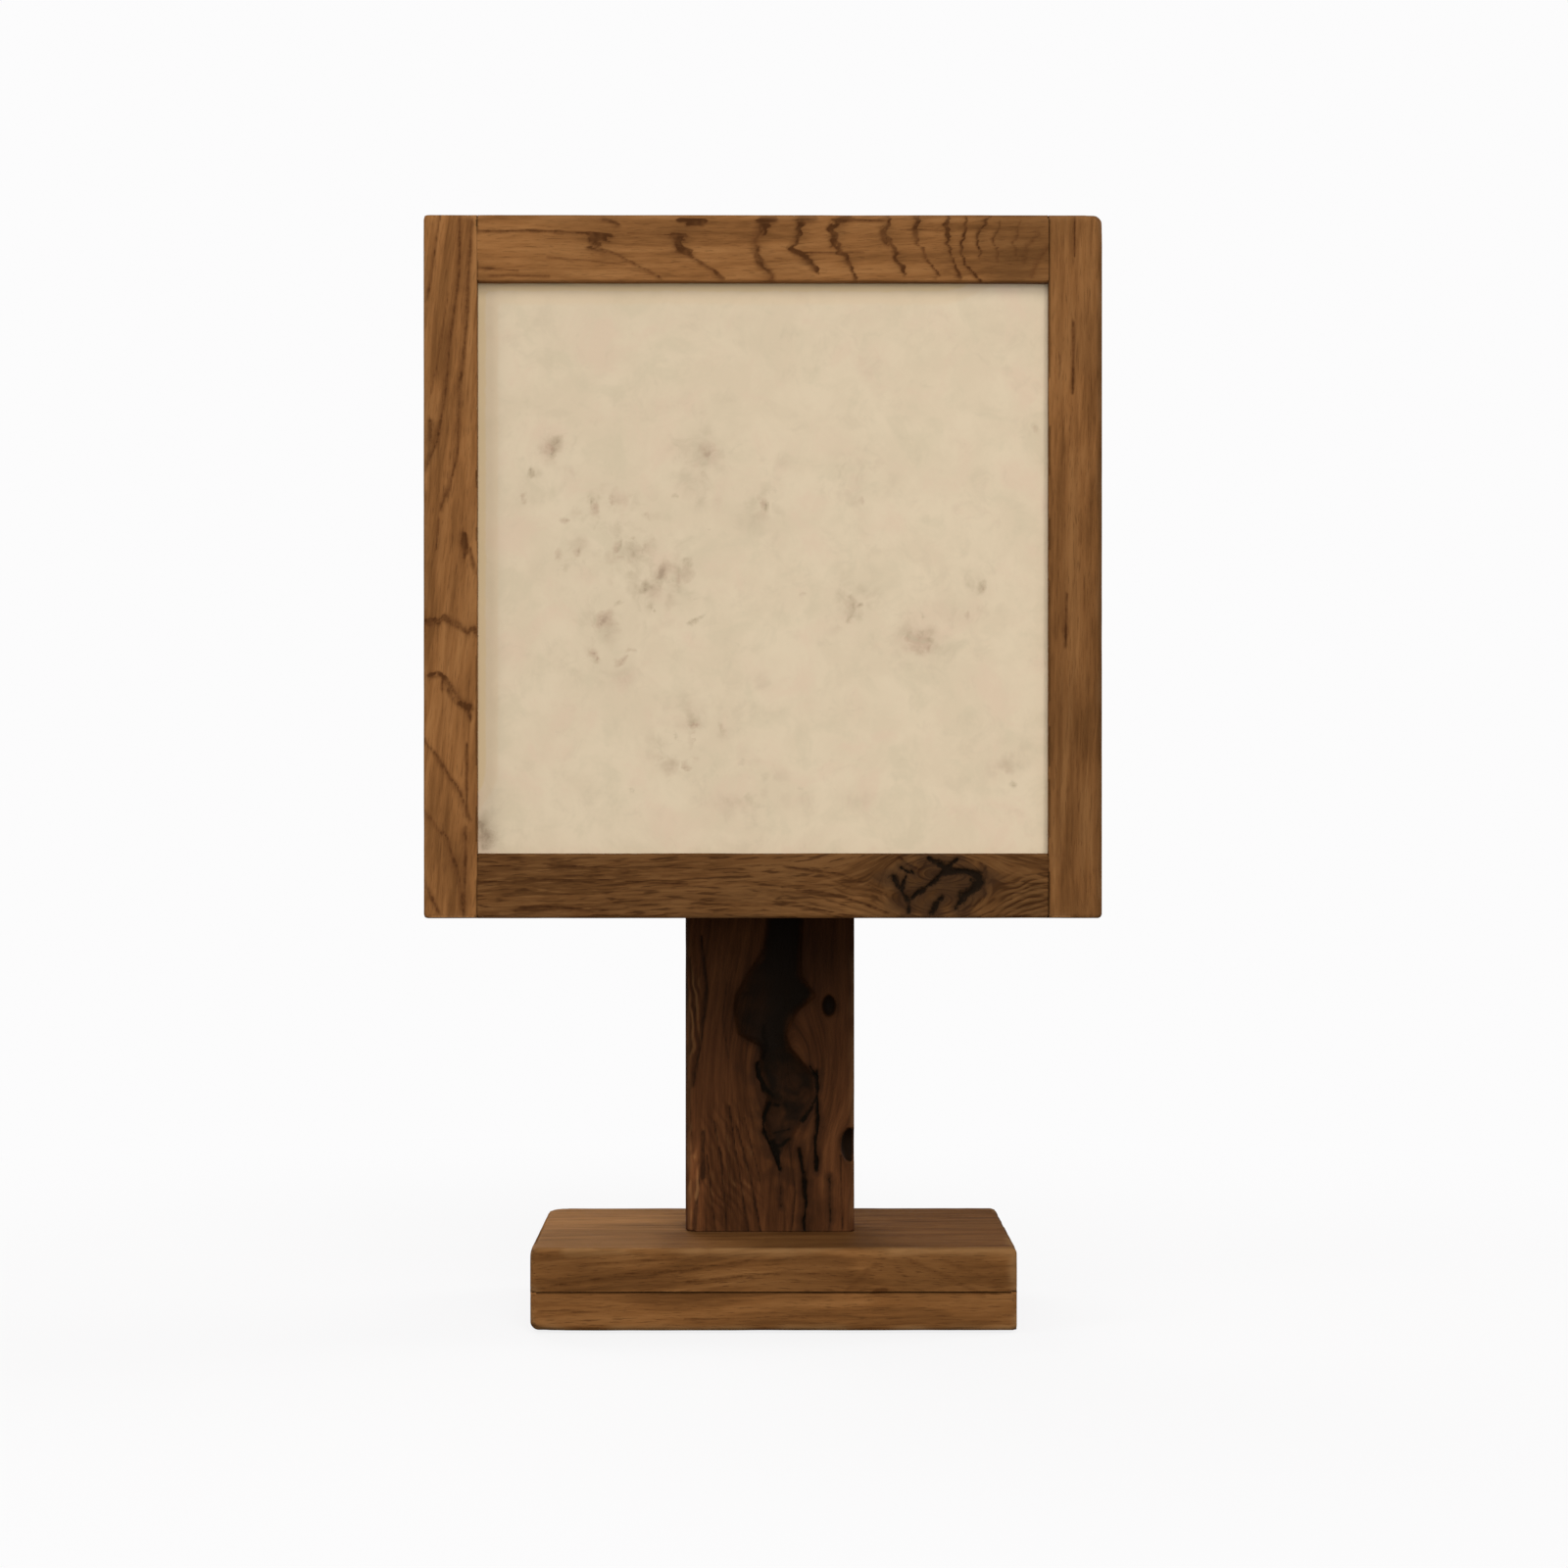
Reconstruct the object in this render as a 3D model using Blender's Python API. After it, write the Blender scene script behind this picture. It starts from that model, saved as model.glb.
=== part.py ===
"""Table lamp in old elm: a parchment lantern with a rebated frame, on a plank post and a two-plank base.

The lamp stands on z = 0 and faces -Y. Its lantern is centred on x = 0. All sizes are in metres.
"""

import math

import bmesh
import bpy
from mathutils import Matrix, Vector
from mathutils.geometry import interpolate_bezier

# Fits and edges
GAP = 0.0003  # left between two pieces that touch
CUT_PAST = 0.002  # how far a cutter runs past the face that it enters
ARRIS = 0.002  # radius of an eased edge
ARC_STEPS = 3  # straight steps in a rounded corner
TURN_STEPS = 32  # sides of a turned piece that shows
SMALL_TURN_STEPS = 16  # sides of a small or hidden turned piece

# Lantern frame
LANTERN_WIDTH = 0.382
LANTERN_DEPTH = 0.210
LANTERN_HEIGHT = 0.396
CORNER_SECTION = 0.030  # side of a square corner post
TOP_RAIL_HEIGHT = 0.0378
BOTTOM_RAIL_HEIGHT = 0.0363
LIP_THICKNESS = 0.009  # wood in front of a panel
REBATE_WIDTH = 0.008  # how far a panel's edge runs behind the lip
TENON_LENGTH = 0.010
TENON_CHEEK = 0.003  # wood cut off each side of a tenon
TENON_SHOULDER = 0.003  # wood cut off above and below a tenon
PANEL_THICKNESS = 0.0016

# Carrier, the board that ties the lantern to the post
CARRIER_WIDTH = 0.130
CARRIER_THICKNESS = 0.024
TONGUE_LENGTH = 0.007
TONGUE_THICKNESS = 0.010

# Post
POST_WIDTH = 0.0985
POST_THICKNESS = 0.048
POST_HEIGHT = 0.1852  # between its shoulders
POST_SHIFT = 0.004  # the hand-built post stands this far right of the lantern's middle
POST_SHOULDER = 0.019  # wood cut off each end of a tenon's width
POST_CHEEK = 0.011  # wood cut off the front and back of a tenon
POST_WANE = 0.006  # radius of the worn front left edge
HOLLOW_DEPTH = 0.008  # the most that the natural hollow in its front can reach
HOLLOW_STEPS = 8  # straight steps across the hollow
PIT_SIDES = 18  # sides of a small pit's rim
PIT_RINGS = 9  # odd, so that no ring lies in the face that the pit opens in

# Base
BASE_WIDTH = 0.2745
BASE_DEPTH = 0.210
BASE_SHIFT = 0.006  # the base is this far right of the lantern's middle
LOWER_PLANK_THICKNESS = 0.0217
UPPER_PLANK_THICKNESS = 0.0245
BASE_CORNER = 0.0025  # radius of the upright edges
BASE_WORN_CORNER = 0.014  # radius of the worn rear left edge
BASE_TOP_ARRIS = 0.003
BASE_BOTTOM_ARRIS = 0.001
PAD_DIAMETER = 0.018
PAD_THICKNESS = 0.003
PAD_STAND = 0.0015  # how far a pad stands out of its recess
PAD_INSET = 0.024  # from the base's edges to a pad's middle

# Wood screws
SCREW_DIAMETER = 0.0042
SCREW_HEAD_DIAMETER = 0.008
SCREW_TIP = 0.006
SCREW_SINK = 0.001  # how far a head lies below the wood
BASE_SCREW_LENGTH = 0.036
BASE_SCREW_INSET = 0.050  # from the base's ends to a screw
BASE_SCREW_EDGE = 0.036  # from the base's long sides to a screw
POST_SCREW_LENGTH = 0.075
POST_SCREW_SPACING = 0.040
CARRIER_SCREW_LENGTH = 0.050

# Wiring
LEAD_DIAMETER = 0.0054
LEAD_CLEARANCE = 0.0018  # across a bore that guides the lead
CHANNEL_CLEARANCE = 0.003  # across the channel in the wood
GROOVE_FLOOR = 0.0075  # wood left under the groove in the lower plank
LEAD_TAIL = 0.006  # lead inside the lampholder's cap
GLAND_WALL = 0.0024
GLAND_LENGTH = 0.018
GLAND_FLANGE = 0.002  # overhang of its flange, which lies flush in the base
GLAND_FLANGE_THICKNESS = 0.003

# Lamp rod
ROD_WALL = 0.0013
ROD_STAND = 0.045  # between the carrier and the lampholder
ROD_DEPTH = 0.020  # screwed into the post
ROD_GRIP = 0.008  # screwed into the lampholder
NUT_WALL = 0.0035
NUT_THICKNESS = 0.004

# Lampholder
HOLDER_WALL = 0.0055  # of its body, round the bulb's cap
HOLDER_BODY_HEIGHT = 0.038
HOLDER_CAP_HEIGHT = 0.024
HOLDER_CAP_WALL = 0.0024
HOLDER_LEDGE = 0.002  # carries the insulator
HOLDER_BOSS_HEIGHT = 0.010
HOLDER_BOSS_WALL = 0.003
HOLDER_COLLAR = 0.002  # overhang of the collar under the ring
HOLDER_COLLAR_HEIGHT = 0.003
HOLDER_COLLAR_DROP = 0.014  # from the body's top to the collar's top
RING_HEIGHT = 0.008
RING_WALL = 0.0035
INSULATOR_THICKNESS = 0.008
CONTACT_RISE = 0.005
CONTACT_STRIP = 0.0008
CONTACT_WIDTH = 0.006
CONTACT_FLAT = 0.005  # length of its foot and of its top

# Bulb
BULB_DIAMETER = 0.060
BULB_LENGTH = 0.105
BULB_GLASS = 0.0012
BULB_CAP_DIAMETER = 0.0265
BULB_CAP_LENGTH = 0.027
BULB_CAP_WALL = 0.0012
BULB_CAP_CLEARANCE = 0.0003  # round the cap in the lampholder
BULB_NECK_GRIP = 0.006  # glass inside the cap
BULB_NECK_STRAIGHT = 0.005  # glass above the cap before it flares
BULB_FLARE_ANGLE = 28  # degrees below the globe's widest line where the flare joins it
BULB_BUTTON_DIAMETER = 0.010
BULB_BUTTON_HEIGHT = 0.001
BULB_INSULATOR_LENGTH = 0.005

# Heights
LOWER_PLANK_BOTTOM = PAD_STAND
LOWER_PLANK_TOP = LOWER_PLANK_BOTTOM + LOWER_PLANK_THICKNESS
UPPER_PLANK_BOTTOM = LOWER_PLANK_TOP + GAP
UPPER_PLANK_TOP = UPPER_PLANK_BOTTOM + UPPER_PLANK_THICKNESS
POST_BOTTOM = UPPER_PLANK_TOP + GAP
POST_TOP = POST_BOTTOM + POST_HEIGHT
LANTERN_BOTTOM = POST_TOP + GAP
CARRIER_TOP = LANTERN_BOTTOM + CARRIER_THICKNESS
HOLDER_BOTTOM = CARRIER_TOP + ROD_STAND
HOLDER_CAP_TOP = HOLDER_BOTTOM + HOLDER_BOSS_HEIGHT + HOLDER_CAP_HEIGHT
HOLDER_BODY_BOTTOM = HOLDER_CAP_TOP + GAP
CONTACT_BOTTOM = HOLDER_CAP_TOP + GAP
BULB_BOTTOM = CONTACT_BOTTOM + CONTACT_RISE + GAP

# Sizes that follow from those above
RAIL_THICKNESS = CORNER_SECTION - REBATE_WIDTH  # a rail's back lines up with the core of a corner post
BEAD_FRONT = LIP_THICKNESS + PANEL_THICKNESS + 2 * GAP
BEAD_WIDTH = REBATE_WIDTH - GAP
POST_TENON_WIDTH = POST_WIDTH - 2 * POST_SHOULDER
POST_TENON_THICKNESS = POST_THICKNESS - 2 * POST_CHEEK
CARRIER_SCREW_REACH = (POST_WIDTH - POST_SHOULDER) / 2  # middle of a tenon's shoulder
ROD_BORE = LEAD_DIAMETER + LEAD_CLEARANCE
ROD_DIAMETER = ROD_BORE + 2 * ROD_WALL
ROD_HOLE = ROD_DIAMETER + 2 * GAP
CHANNEL_DIAMETER = LEAD_DIAMETER + CHANNEL_CLEARANCE
LEAD_HEIGHT = LOWER_PLANK_BOTTOM + GROOVE_FLOOR + GAP + LEAD_DIAMETER / 2
LEAD_BEND = UPPER_PLANK_BOTTOM - LEAD_HEIGHT
GLAND_BORE = LEAD_DIAMETER + LEAD_CLEARANCE
GLAND_DIAMETER = GLAND_BORE + 2 * GLAND_WALL
GLAND_END = BASE_DEPTH / 2 - GLAND_LENGTH
HOLDER_BORE = BULB_CAP_DIAMETER + 2 * BULB_CAP_CLEARANCE
HOLDER_DIAMETER = HOLDER_BORE + 2 * HOLDER_WALL
INSULATOR_SEAT = HOLDER_DIAMETER - 2 * HOLDER_CAP_WALL
BULB_NECK_DIAMETER = BULB_CAP_DIAMETER - 2 * (BULB_CAP_WALL + GAP)

# Each face of the lantern: width, distance from the middle, turn, and whether its tenons are the upper ones
FACES = {
    "front": (LANTERN_WIDTH, LANTERN_DEPTH / 2, 0, True),
    "right": (LANTERN_DEPTH, LANTERN_WIDTH / 2, 90, False),
    "back": (LANTERN_WIDTH, LANTERN_DEPTH / 2, 180, True),
    "left": (LANTERN_DEPTH, LANTERN_WIDTH / 2, 270, False),
}

# Natural hollow in the post's front, from its tip up: height and middle as shares of the post's height and
# width, then half width
POST_HOLLOW = (
    (0.200, 0.060, 0.0006),
    (0.280, 0.060, 0.0056),
    (0.365, 0.085, 0.0130),
    (0.420, 0.125, 0.0139),
    (0.490, 0.100, 0.0167),
    (0.580, 0.035, 0.0087),
    (0.620, -0.045, 0.0145),
    (0.690, -0.025, 0.0187),
    (0.740, 0.035, 0.0241),
    (0.805, 0.025, 0.0164),
    (0.890, 0.075, 0.0114),
    (1.020, 0.100, 0.0105),
)

# Small pits in the post's front: height and middle as above, then half width, half height and depth
POST_PITS = {
    "knot": (0.71, 0.35, 0.0040, 0.0068, 0.0050),
    "edge": (0.27, 0.475, 0.0055, 0.0105, 0.0070),
    "crack": (0.28, 0.27, 0.0009, 0.0450, 0.0040),
}

# Bottom and top of each rail, above the lantern's bottom
RAILS = {
    "top": (LANTERN_HEIGHT - TOP_RAIL_HEIGHT, LANTERN_HEIGHT),
    "bottom": (0, BOTTOM_RAIL_HEIGHT),
}

TURN_OVER = Matrix.Rotation(math.pi, 4, "X")
LIE_BACKWARDS = Matrix.Rotation(-math.pi / 2, 4, "X")  # turns +Z to +Y


def clear_scene():
    for old in list(bpy.data.objects):
        bpy.data.objects.remove(old)


def material(name, colour, roughness, metallic=0.0):
    made = bpy.data.materials.new(name)
    made.use_nodes = True
    shader = made.node_tree.nodes["Principled BSDF"]
    shader.inputs["Base Color"].default_value = (*colour, 1)
    shader.inputs["Roughness"].default_value = roughness
    shader.inputs["Metallic"].default_value = metallic
    return made


def empty(name, location=(0, 0, 0), turn=0, parent=None):
    made = bpy.data.objects.new(name, None)
    made.location = location
    made.rotation_euler.z = math.radians(turn)
    made.parent = parent
    bpy.context.collection.objects.link(made)
    return made


def put(name, shape, finish, parent=None, location=(0, 0, 0), smooth=False):
    """Turns a bmesh into a named object with its material."""
    bmesh.ops.recalc_face_normals(shape, faces=shape.faces)
    mesh = bpy.data.meshes.new(name)
    shape.to_mesh(mesh)
    shape.free()
    if smooth:
        mesh.shade_smooth()
        mesh.set_sharp_from_angle(angle=math.radians(35))
    if finish:
        mesh.materials.append(finish)
    made = bpy.data.objects.new(name, mesh)
    made.location = location
    made.parent = parent
    bpy.context.collection.objects.link(made)
    return made


def tool(name, shape, parent=None, location=(0, 0, 0)):
    """A hidden shape that cuts or joins."""
    made = put(name, shape, None, parent, location)
    made.hide_render = True
    made.display_type = "WIRE"
    return made


def carve(target, shape_tool, operation="DIFFERENCE"):
    step = target.modifiers.new(shape_tool.name, "BOOLEAN")
    step.operation = operation
    step.solver = "EXACT"
    step.object = shape_tool


def rounded(corners, radii):
    """The closed outline through the corners, each made an arc. A radius of 0 keeps a corner sharp."""
    outline = []
    for i, (corner, radius) in enumerate(zip(corners, radii)):
        here = Vector(corner)
        if radius == 0:
            outline.append(here)
            continue
        back = (Vector(corners[i - 1]) - here).normalized()
        ahead = (Vector(corners[(i + 1) % len(corners)]) - here).normalized()
        half = back.angle(ahead) / 2
        centre = here + (back + ahead).normalized() * radius / math.sin(half)
        first = here + back * radius / math.tan(half) - centre
        last = here + ahead * radius / math.tan(half) - centre
        start = math.atan2(first.y, first.x)
        sweep = math.remainder(math.atan2(last.y, last.x) - start, math.tau)
        for step in range(ARC_STEPS + 1):
            angle = start + sweep * step / ARC_STEPS
            outline.append(centre + Vector((math.cos(angle), math.sin(angle))) * radius)
    return outline


def box_outline(across, up):
    """The corners between two pairs of limits."""
    return [(across[0], up[0]), (across[1], up[0]), (across[1], up[1]), (across[0], up[1])]


def rectangle(width, depth, middle):
    """The corners of a rectangle centred on (middle, 0)."""
    return box_outline((middle - width / 2, middle + width / 2), (-depth / 2, depth / 2))


def add_prism(shape, outline, axis, low, high):
    """Extrudes an outline from low to high. Its two coordinates are the other two axes, in XYZ order."""
    def place(u, v, w):
        return {"X": (w, u, v), "Y": (u, w, v), "Z": (u, v, w)}[axis]

    face = shape.faces.new([shape.verts.new(place(u, v, low)) for u, v in outline])
    grown = bmesh.ops.extrude_face_region(shape, geom=[face])
    far = [item for item in grown["geom"] if isinstance(item, bmesh.types.BMVert)]
    bmesh.ops.translate(shape, verts=far, vec=place(0, 0, high - low))


def add_turned(shape, profile, steps, closed=False, matrix=Matrix()):
    """Spins a profile of (radius, height) points round Z. A closed profile makes a ring."""
    older = set(shape.verts)
    points = [shape.verts.new((radius, 0, height)) for radius, height in profile]
    pairs = list(zip(points, points[1:]))
    if closed:
        pairs.append((points[-1], points[0]))
    edges = [shape.edges.new(pair) for pair in pairs]
    bmesh.ops.spin(shape, geom=points + edges, axis=(0, 0, 1), cent=(0, 0, 0), angle=math.tau, steps=steps,
                   use_merge=True)
    bmesh.ops.remove_doubles(shape, verts=[vert for vert in shape.verts if vert not in older], dist=1e-6)
    bmesh.ops.transform(shape, matrix=matrix, verts=[vert for vert in shape.verts if vert not in older])


def add_cylinder(shape, diameter, low, high, matrix=Matrix()):
    radius = diameter / 2
    add_turned(shape, [(0, high), (radius, high), (radius, low), (0, low)], SMALL_TURN_STEPS, matrix=matrix)


def ease_edges(shape, chosen, radius):
    """Rounds the edges for which chosen says yes."""
    bmesh.ops.recalc_face_normals(shape, faces=shape.faces)
    edges = [edge for edge in shape.edges if chosen(edge)]
    bmesh.ops.bevel(shape, geom=edges, offset=radius, segments=2, profile=0.5, affect="EDGES",
                    clamp_overlap=True)


def lies_at(edge, height):
    return all(abs(vert.co.z - height) < 1e-6 for vert in edge.verts)


def rail_back(which):
    """The bottom and top of the part of a rail that is not cut away for the panel."""
    low, high = RAILS[which]
    return (low + REBATE_WIDTH, high) if which == "top" else (low, high - REBATE_WIDTH)


def tenon_span(which, upper):
    """Where a tenon lies in height. The two that meet in a corner post take half of the rail's back each."""
    low, high = rail_back(which)
    middle = (low + high) / 2
    low, high = (middle, high) if upper else (low, middle)
    return low + TENON_SHOULDER, high - TENON_SHOULDER


def make_corner_post(name, side, face, finish, lantern):
    """An upright with two rebates and four mortises. side is -1 for left, face is -1 for front."""
    size, lip, core = CORNER_SECTION, LIP_THICKNESS, RAIL_THICKNESS

    def outward(x, y):
        return side * (LANTERN_WIDTH / 2 - x), face * (LANTERN_DEPTH / 2 - y)

    def on_outer_end(edge):
        middle = (edge.verts[0].co + edge.verts[1].co) / 2
        depth = min(LANTERN_WIDTH / 2 - abs(middle.x), LANTERN_DEPTH / 2 - abs(middle.y))
        return depth < ARRIS / 2 and (lies_at(edge, 0) or lies_at(edge, LANTERN_HEIGHT))

    corners = [
        (0, 0),
        (size, 0),
        (size, lip),
        (core, lip),
        (core, core),
        (lip, core),
        (lip, size),
        (0, size),
    ]
    section = rounded(corners, [ARRIS] + [0] * (len(corners) - 1))
    shape = bmesh.new()
    add_prism(shape, [outward(*point) for point in section], "Z", 0, LANTERN_HEIGHT)
    ease_edges(shape, on_outer_end, ARRIS)
    made = put(name, shape, finish, lantern)

    mortises = bmesh.new()
    across = (lip + TENON_CHEEK - GAP, core - TENON_CHEEK + GAP)
    deep = (core - TENON_LENGTH - GAP, core + CUT_PAST)
    for which in RAILS:
        for upper, xs, ys in ((True, deep, across), (False, across, deep)):
            low, high = tenon_span(which, upper)
            outline = [outward(*point) for point in box_outline(xs, ys)]
            add_prism(mortises, outline, "Z", low - GAP, high + GAP)
    carve(made, tool(name + "_mortises", mortises, lantern))


def add_tenon(shape, end, length, tenon):
    """Draws the back of a rail out to its long shoulder, and the tenon out of that."""
    def at_end(face):
        return all(abs(vert.co.x - end * length / 2) < 1e-6 for vert in face.verts)

    back = max((face for face in shape.faces if at_end(face)), key=lambda face: face.calc_center_median().y)
    shoulder = bmesh.ops.extrude_discrete_faces(shape, faces=[back])["faces"][0]
    bmesh.ops.translate(shape, verts=shoulder.verts, vec=(end * REBATE_WIDTH, 0, 0))
    bmesh.ops.inset_individual(shape, faces=[shoulder], thickness=TENON_CHEEK, use_even_offset=True)
    middle = shoulder.calc_center_median().z
    for vert in shoulder.verts:
        vert.co.z = tenon[1] if vert.co.z > middle else tenon[0]
    tip = bmesh.ops.extrude_discrete_faces(shape, faces=[shoulder])["faces"][0]
    bmesh.ops.translate(shape, verts=tip.verts, vec=(end * TENON_LENGTH, 0, 0))


def make_rail(name, face_name, which, finish, face_frame):
    """A rail along X, with y inwards from its face: a lip between the posts, and a longer tenoned back."""
    width, reach, _, upper = FACES[face_name]
    low, high = RAILS[which]
    back_low, back_high = rail_back(which)
    inner, outer = (low, high) if which == "top" else (high, low)
    back_inner, back_outer = (back_low, back_high) if which == "top" else (back_high, back_low)
    length = width - 2 * CORNER_SECTION - 2 * GAP
    lip_corners = [
        (0, inner),
        (LIP_THICKNESS, inner),
        (LIP_THICKNESS, back_inner),
        (LIP_THICKNESS, back_outer),
        (0, outer),
    ]
    back_corners = [
        (LIP_THICKNESS, back_inner),
        (RAIL_THICKNESS, back_inner),
        (RAIL_THICKNESS, back_outer),
        (LIP_THICKNESS, back_outer),
    ]
    shape = bmesh.new()
    for outline in (rounded(lip_corners, [ARRIS / 2, 0, 0, 0, ARRIS]), back_corners):
        shape.faces.new([shape.verts.new((-length / 2, y, z)) for y, z in outline])
    bmesh.ops.remove_doubles(shape, verts=shape.verts, dist=1e-6)
    grown = bmesh.ops.extrude_face_region(shape, geom=list(shape.faces))
    far = [item for item in grown["geom"] if isinstance(item, bmesh.types.BMVert)]
    bmesh.ops.translate(shape, verts=far, vec=(length, 0, 0))
    bmesh.ops.recalc_face_normals(shape, faces=shape.faces)
    for end in (-1, 1):
        add_tenon(shape, end, length, tenon_span(which, upper))
    return put(name, shape, finish, face_frame, (0, -reach, 0))


def make_bead(name, corners, finish, face_frame, reach):
    """A mitred strip behind a panel, from its four corners in the panel's plane."""
    shape = bmesh.new()
    add_prism(shape, corners, "Y", BEAD_FRONT, RAIL_THICKNESS)
    put(name, shape, finish, face_frame, (0, -reach, 0))


def make_face(face_name, lantern, finishes):
    """One side of the lantern: two rails, a panel and four beads."""
    width, reach, turn, _ = FACES[face_name]
    face_frame = empty("face_" + face_name, turn=turn, parent=lantern)
    for which in RAILS:
        rail = make_rail(f"rail_{face_name}_{which}", face_name, which, finishes["frame"], face_frame)
        if which == "bottom" and face_name in ("front", "back"):
            cut_carrier_groove(rail, -POST_SHIFT if face_name == "back" else POST_SHIFT, face_frame, reach)

    left = -(width / 2 - RAIL_THICKNESS - GAP)
    low = rail_back("bottom")[1] + GAP
    high = rail_back("top")[0] - GAP
    panel = bmesh.new()
    outline = box_outline((left, -left), (low, high))
    add_prism(panel, outline, "Y", LIP_THICKNESS + GAP, LIP_THICKNESS + GAP + PANEL_THICKNESS)
    put("panel_" + face_name, panel, finishes["parchment"], face_frame, (0, -reach, 0))

    inner = box_outline((left + BEAD_WIDTH, -left - BEAD_WIDTH), (low + BEAD_WIDTH, high - BEAD_WIDTH))
    for i, where in enumerate(("bottom", "right", "top", "left")):
        start, stop = Vector(outline[i]), Vector(outline[(i + 1) % 4])
        inner_start, inner_stop = Vector(inner[i]), Vector(inner[(i + 1) % 4])
        along = (stop - start).normalized() * GAP
        corners = [start + along, stop - along, inner_stop - along, inner_start + along]
        make_bead(f"bead_{face_name}_{where}", corners, finishes["bead"], face_frame, reach)


def cut_carrier_groove(rail, middle, face_frame, reach):
    shape = bmesh.new()
    low = (CARRIER_THICKNESS - TONGUE_THICKNESS) / 2 - GAP
    high = (CARRIER_THICKNESS + TONGUE_THICKNESS) / 2 + GAP
    depth = (RAIL_THICKNESS - TONGUE_LENGTH - GAP, RAIL_THICKNESS + CUT_PAST)
    half = CARRIER_WIDTH / 2 + GAP
    add_prism(shape, box_outline(depth, (low, high)), "X", middle - half, middle + half)
    carve(rail, tool(rail.name + "_groove", shape, face_frame, (0, -reach, 0)))


def screw_profile(length, grow=0):
    """A countersunk wood screw with its head's face at 0 and its tip up. grow makes its hole."""
    shank, head = SCREW_DIAMETER / 2, SCREW_HEAD_DIAMETER / 2
    head_top = head - shank
    start = -(SCREW_SINK + CUT_PAST) if grow else 0
    profile = [(0, length + grow), (shank + grow, length - SCREW_TIP), (shank + grow, head_top)]
    profile.append((head + grow, 0))
    if grow:
        profile.append((head + grow, start))
    return profile + [(0, start)]


def add_screws(shape, length, places, grow=0):
    for matrix in places:
        add_turned(shape, screw_profile(length, grow), SMALL_TURN_STEPS, matrix=matrix)


def make_screws(name, length, places, finish):
    for number, matrix in enumerate(places, start=1):
        shape = bmesh.new()
        add_turned(shape, screw_profile(length), SMALL_TURN_STEPS)
        made = put(f"{name}_{number}", shape, finish, smooth=True)
        made.matrix_world = matrix


def base_corners(inset, edge, height):
    """A place near each corner of the base: inset from its ends, and edge from its long sides."""
    places = []
    for side in (-1, 1):
        for face in (-1, 1):
            x = BASE_SHIFT + side * (BASE_WIDTH / 2 - inset)
            places.append(Matrix.Translation((x, face * (BASE_DEPTH / 2 - edge), height)))
    return places


def make_base(finishes, base_screws, post_screws):
    section = rounded(rectangle(BASE_WIDTH, BASE_DEPTH, BASE_SHIFT), [BASE_CORNER] * 3 + [BASE_WORN_CORNER])
    shape = bmesh.new()
    add_prism(shape, section, "Z", LOWER_PLANK_BOTTOM, LOWER_PLANK_TOP)
    ease_edges(shape, lambda edge: lies_at(edge, LOWER_PLANK_BOTTOM), BASE_BOTTOM_ARRIS)
    lower = put("base_lower_plank", shape, finishes["base"])
    shape = bmesh.new()
    add_prism(shape, section, "Z", UPPER_PLANK_BOTTOM, UPPER_PLANK_TOP)
    ease_edges(shape, lambda edge: lies_at(edge, UPPER_PLANK_TOP), BASE_TOP_ARRIS)
    upper = put("base_upper_plank", shape, finishes["base"])

    holes = bmesh.new()
    add_screws(holes, BASE_SCREW_LENGTH, base_screws, GAP)
    add_screws(holes, POST_SCREW_LENGTH, post_screws, GAP)
    pads = base_corners(PAD_INSET, PAD_INSET, 0)
    for number, matrix in enumerate(pads, start=1):
        add_cylinder(holes, PAD_DIAMETER + 2 * GAP, -CUT_PAST, PAD_THICKNESS + GAP, matrix)
        pad = bmesh.new()
        add_cylinder(pad, PAD_DIAMETER, 0, PAD_THICKNESS)
        put(f"felt_pad_{number}", pad, finishes["felt"], location=matrix.translation, smooth=True)
    carve(lower, tool("lower_plank_holes", holes))

    groove = bmesh.new()
    half = CHANNEL_DIAMETER / 2
    outline = box_outline((POST_SHIFT - half, POST_SHIFT + half), (-half, GLAND_END + CUT_PAST))
    add_prism(groove, outline, "Z", LOWER_PLANK_BOTTOM + GROOVE_FLOOR, LOWER_PLANK_TOP + CUT_PAST)
    carve(lower, tool("lead_groove", groove))
    gland_hole = bmesh.new()
    barrel = GLAND_DIAMETER / 2 + GAP
    flange = barrel + GLAND_FLANGE
    step = -GLAND_FLANGE_THICKNESS - GAP
    end = -GLAND_LENGTH - GAP
    profile = [(0, CUT_PAST), (flange, CUT_PAST), (flange, step), (barrel, step), (barrel, end), (0, end)]
    add_turned(gland_hole, profile, SMALL_TURN_STEPS, matrix=LIE_BACKWARDS)
    carve(lower, tool("gland_hole", gland_hole, location=(POST_SHIFT, BASE_DEPTH / 2, LEAD_HEIGHT)))

    holes = bmesh.new()
    add_screws(holes, BASE_SCREW_LENGTH, base_screws, GAP)
    mortise = rectangle(POST_TENON_WIDTH + 2 * GAP, POST_TENON_THICKNESS + 2 * GAP, POST_SHIFT)
    add_prism(holes, mortise, "Z", UPPER_PLANK_BOTTOM - CUT_PAST, UPPER_PLANK_TOP + CUT_PAST)
    carve(upper, tool("upper_plank_holes", holes))


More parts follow.
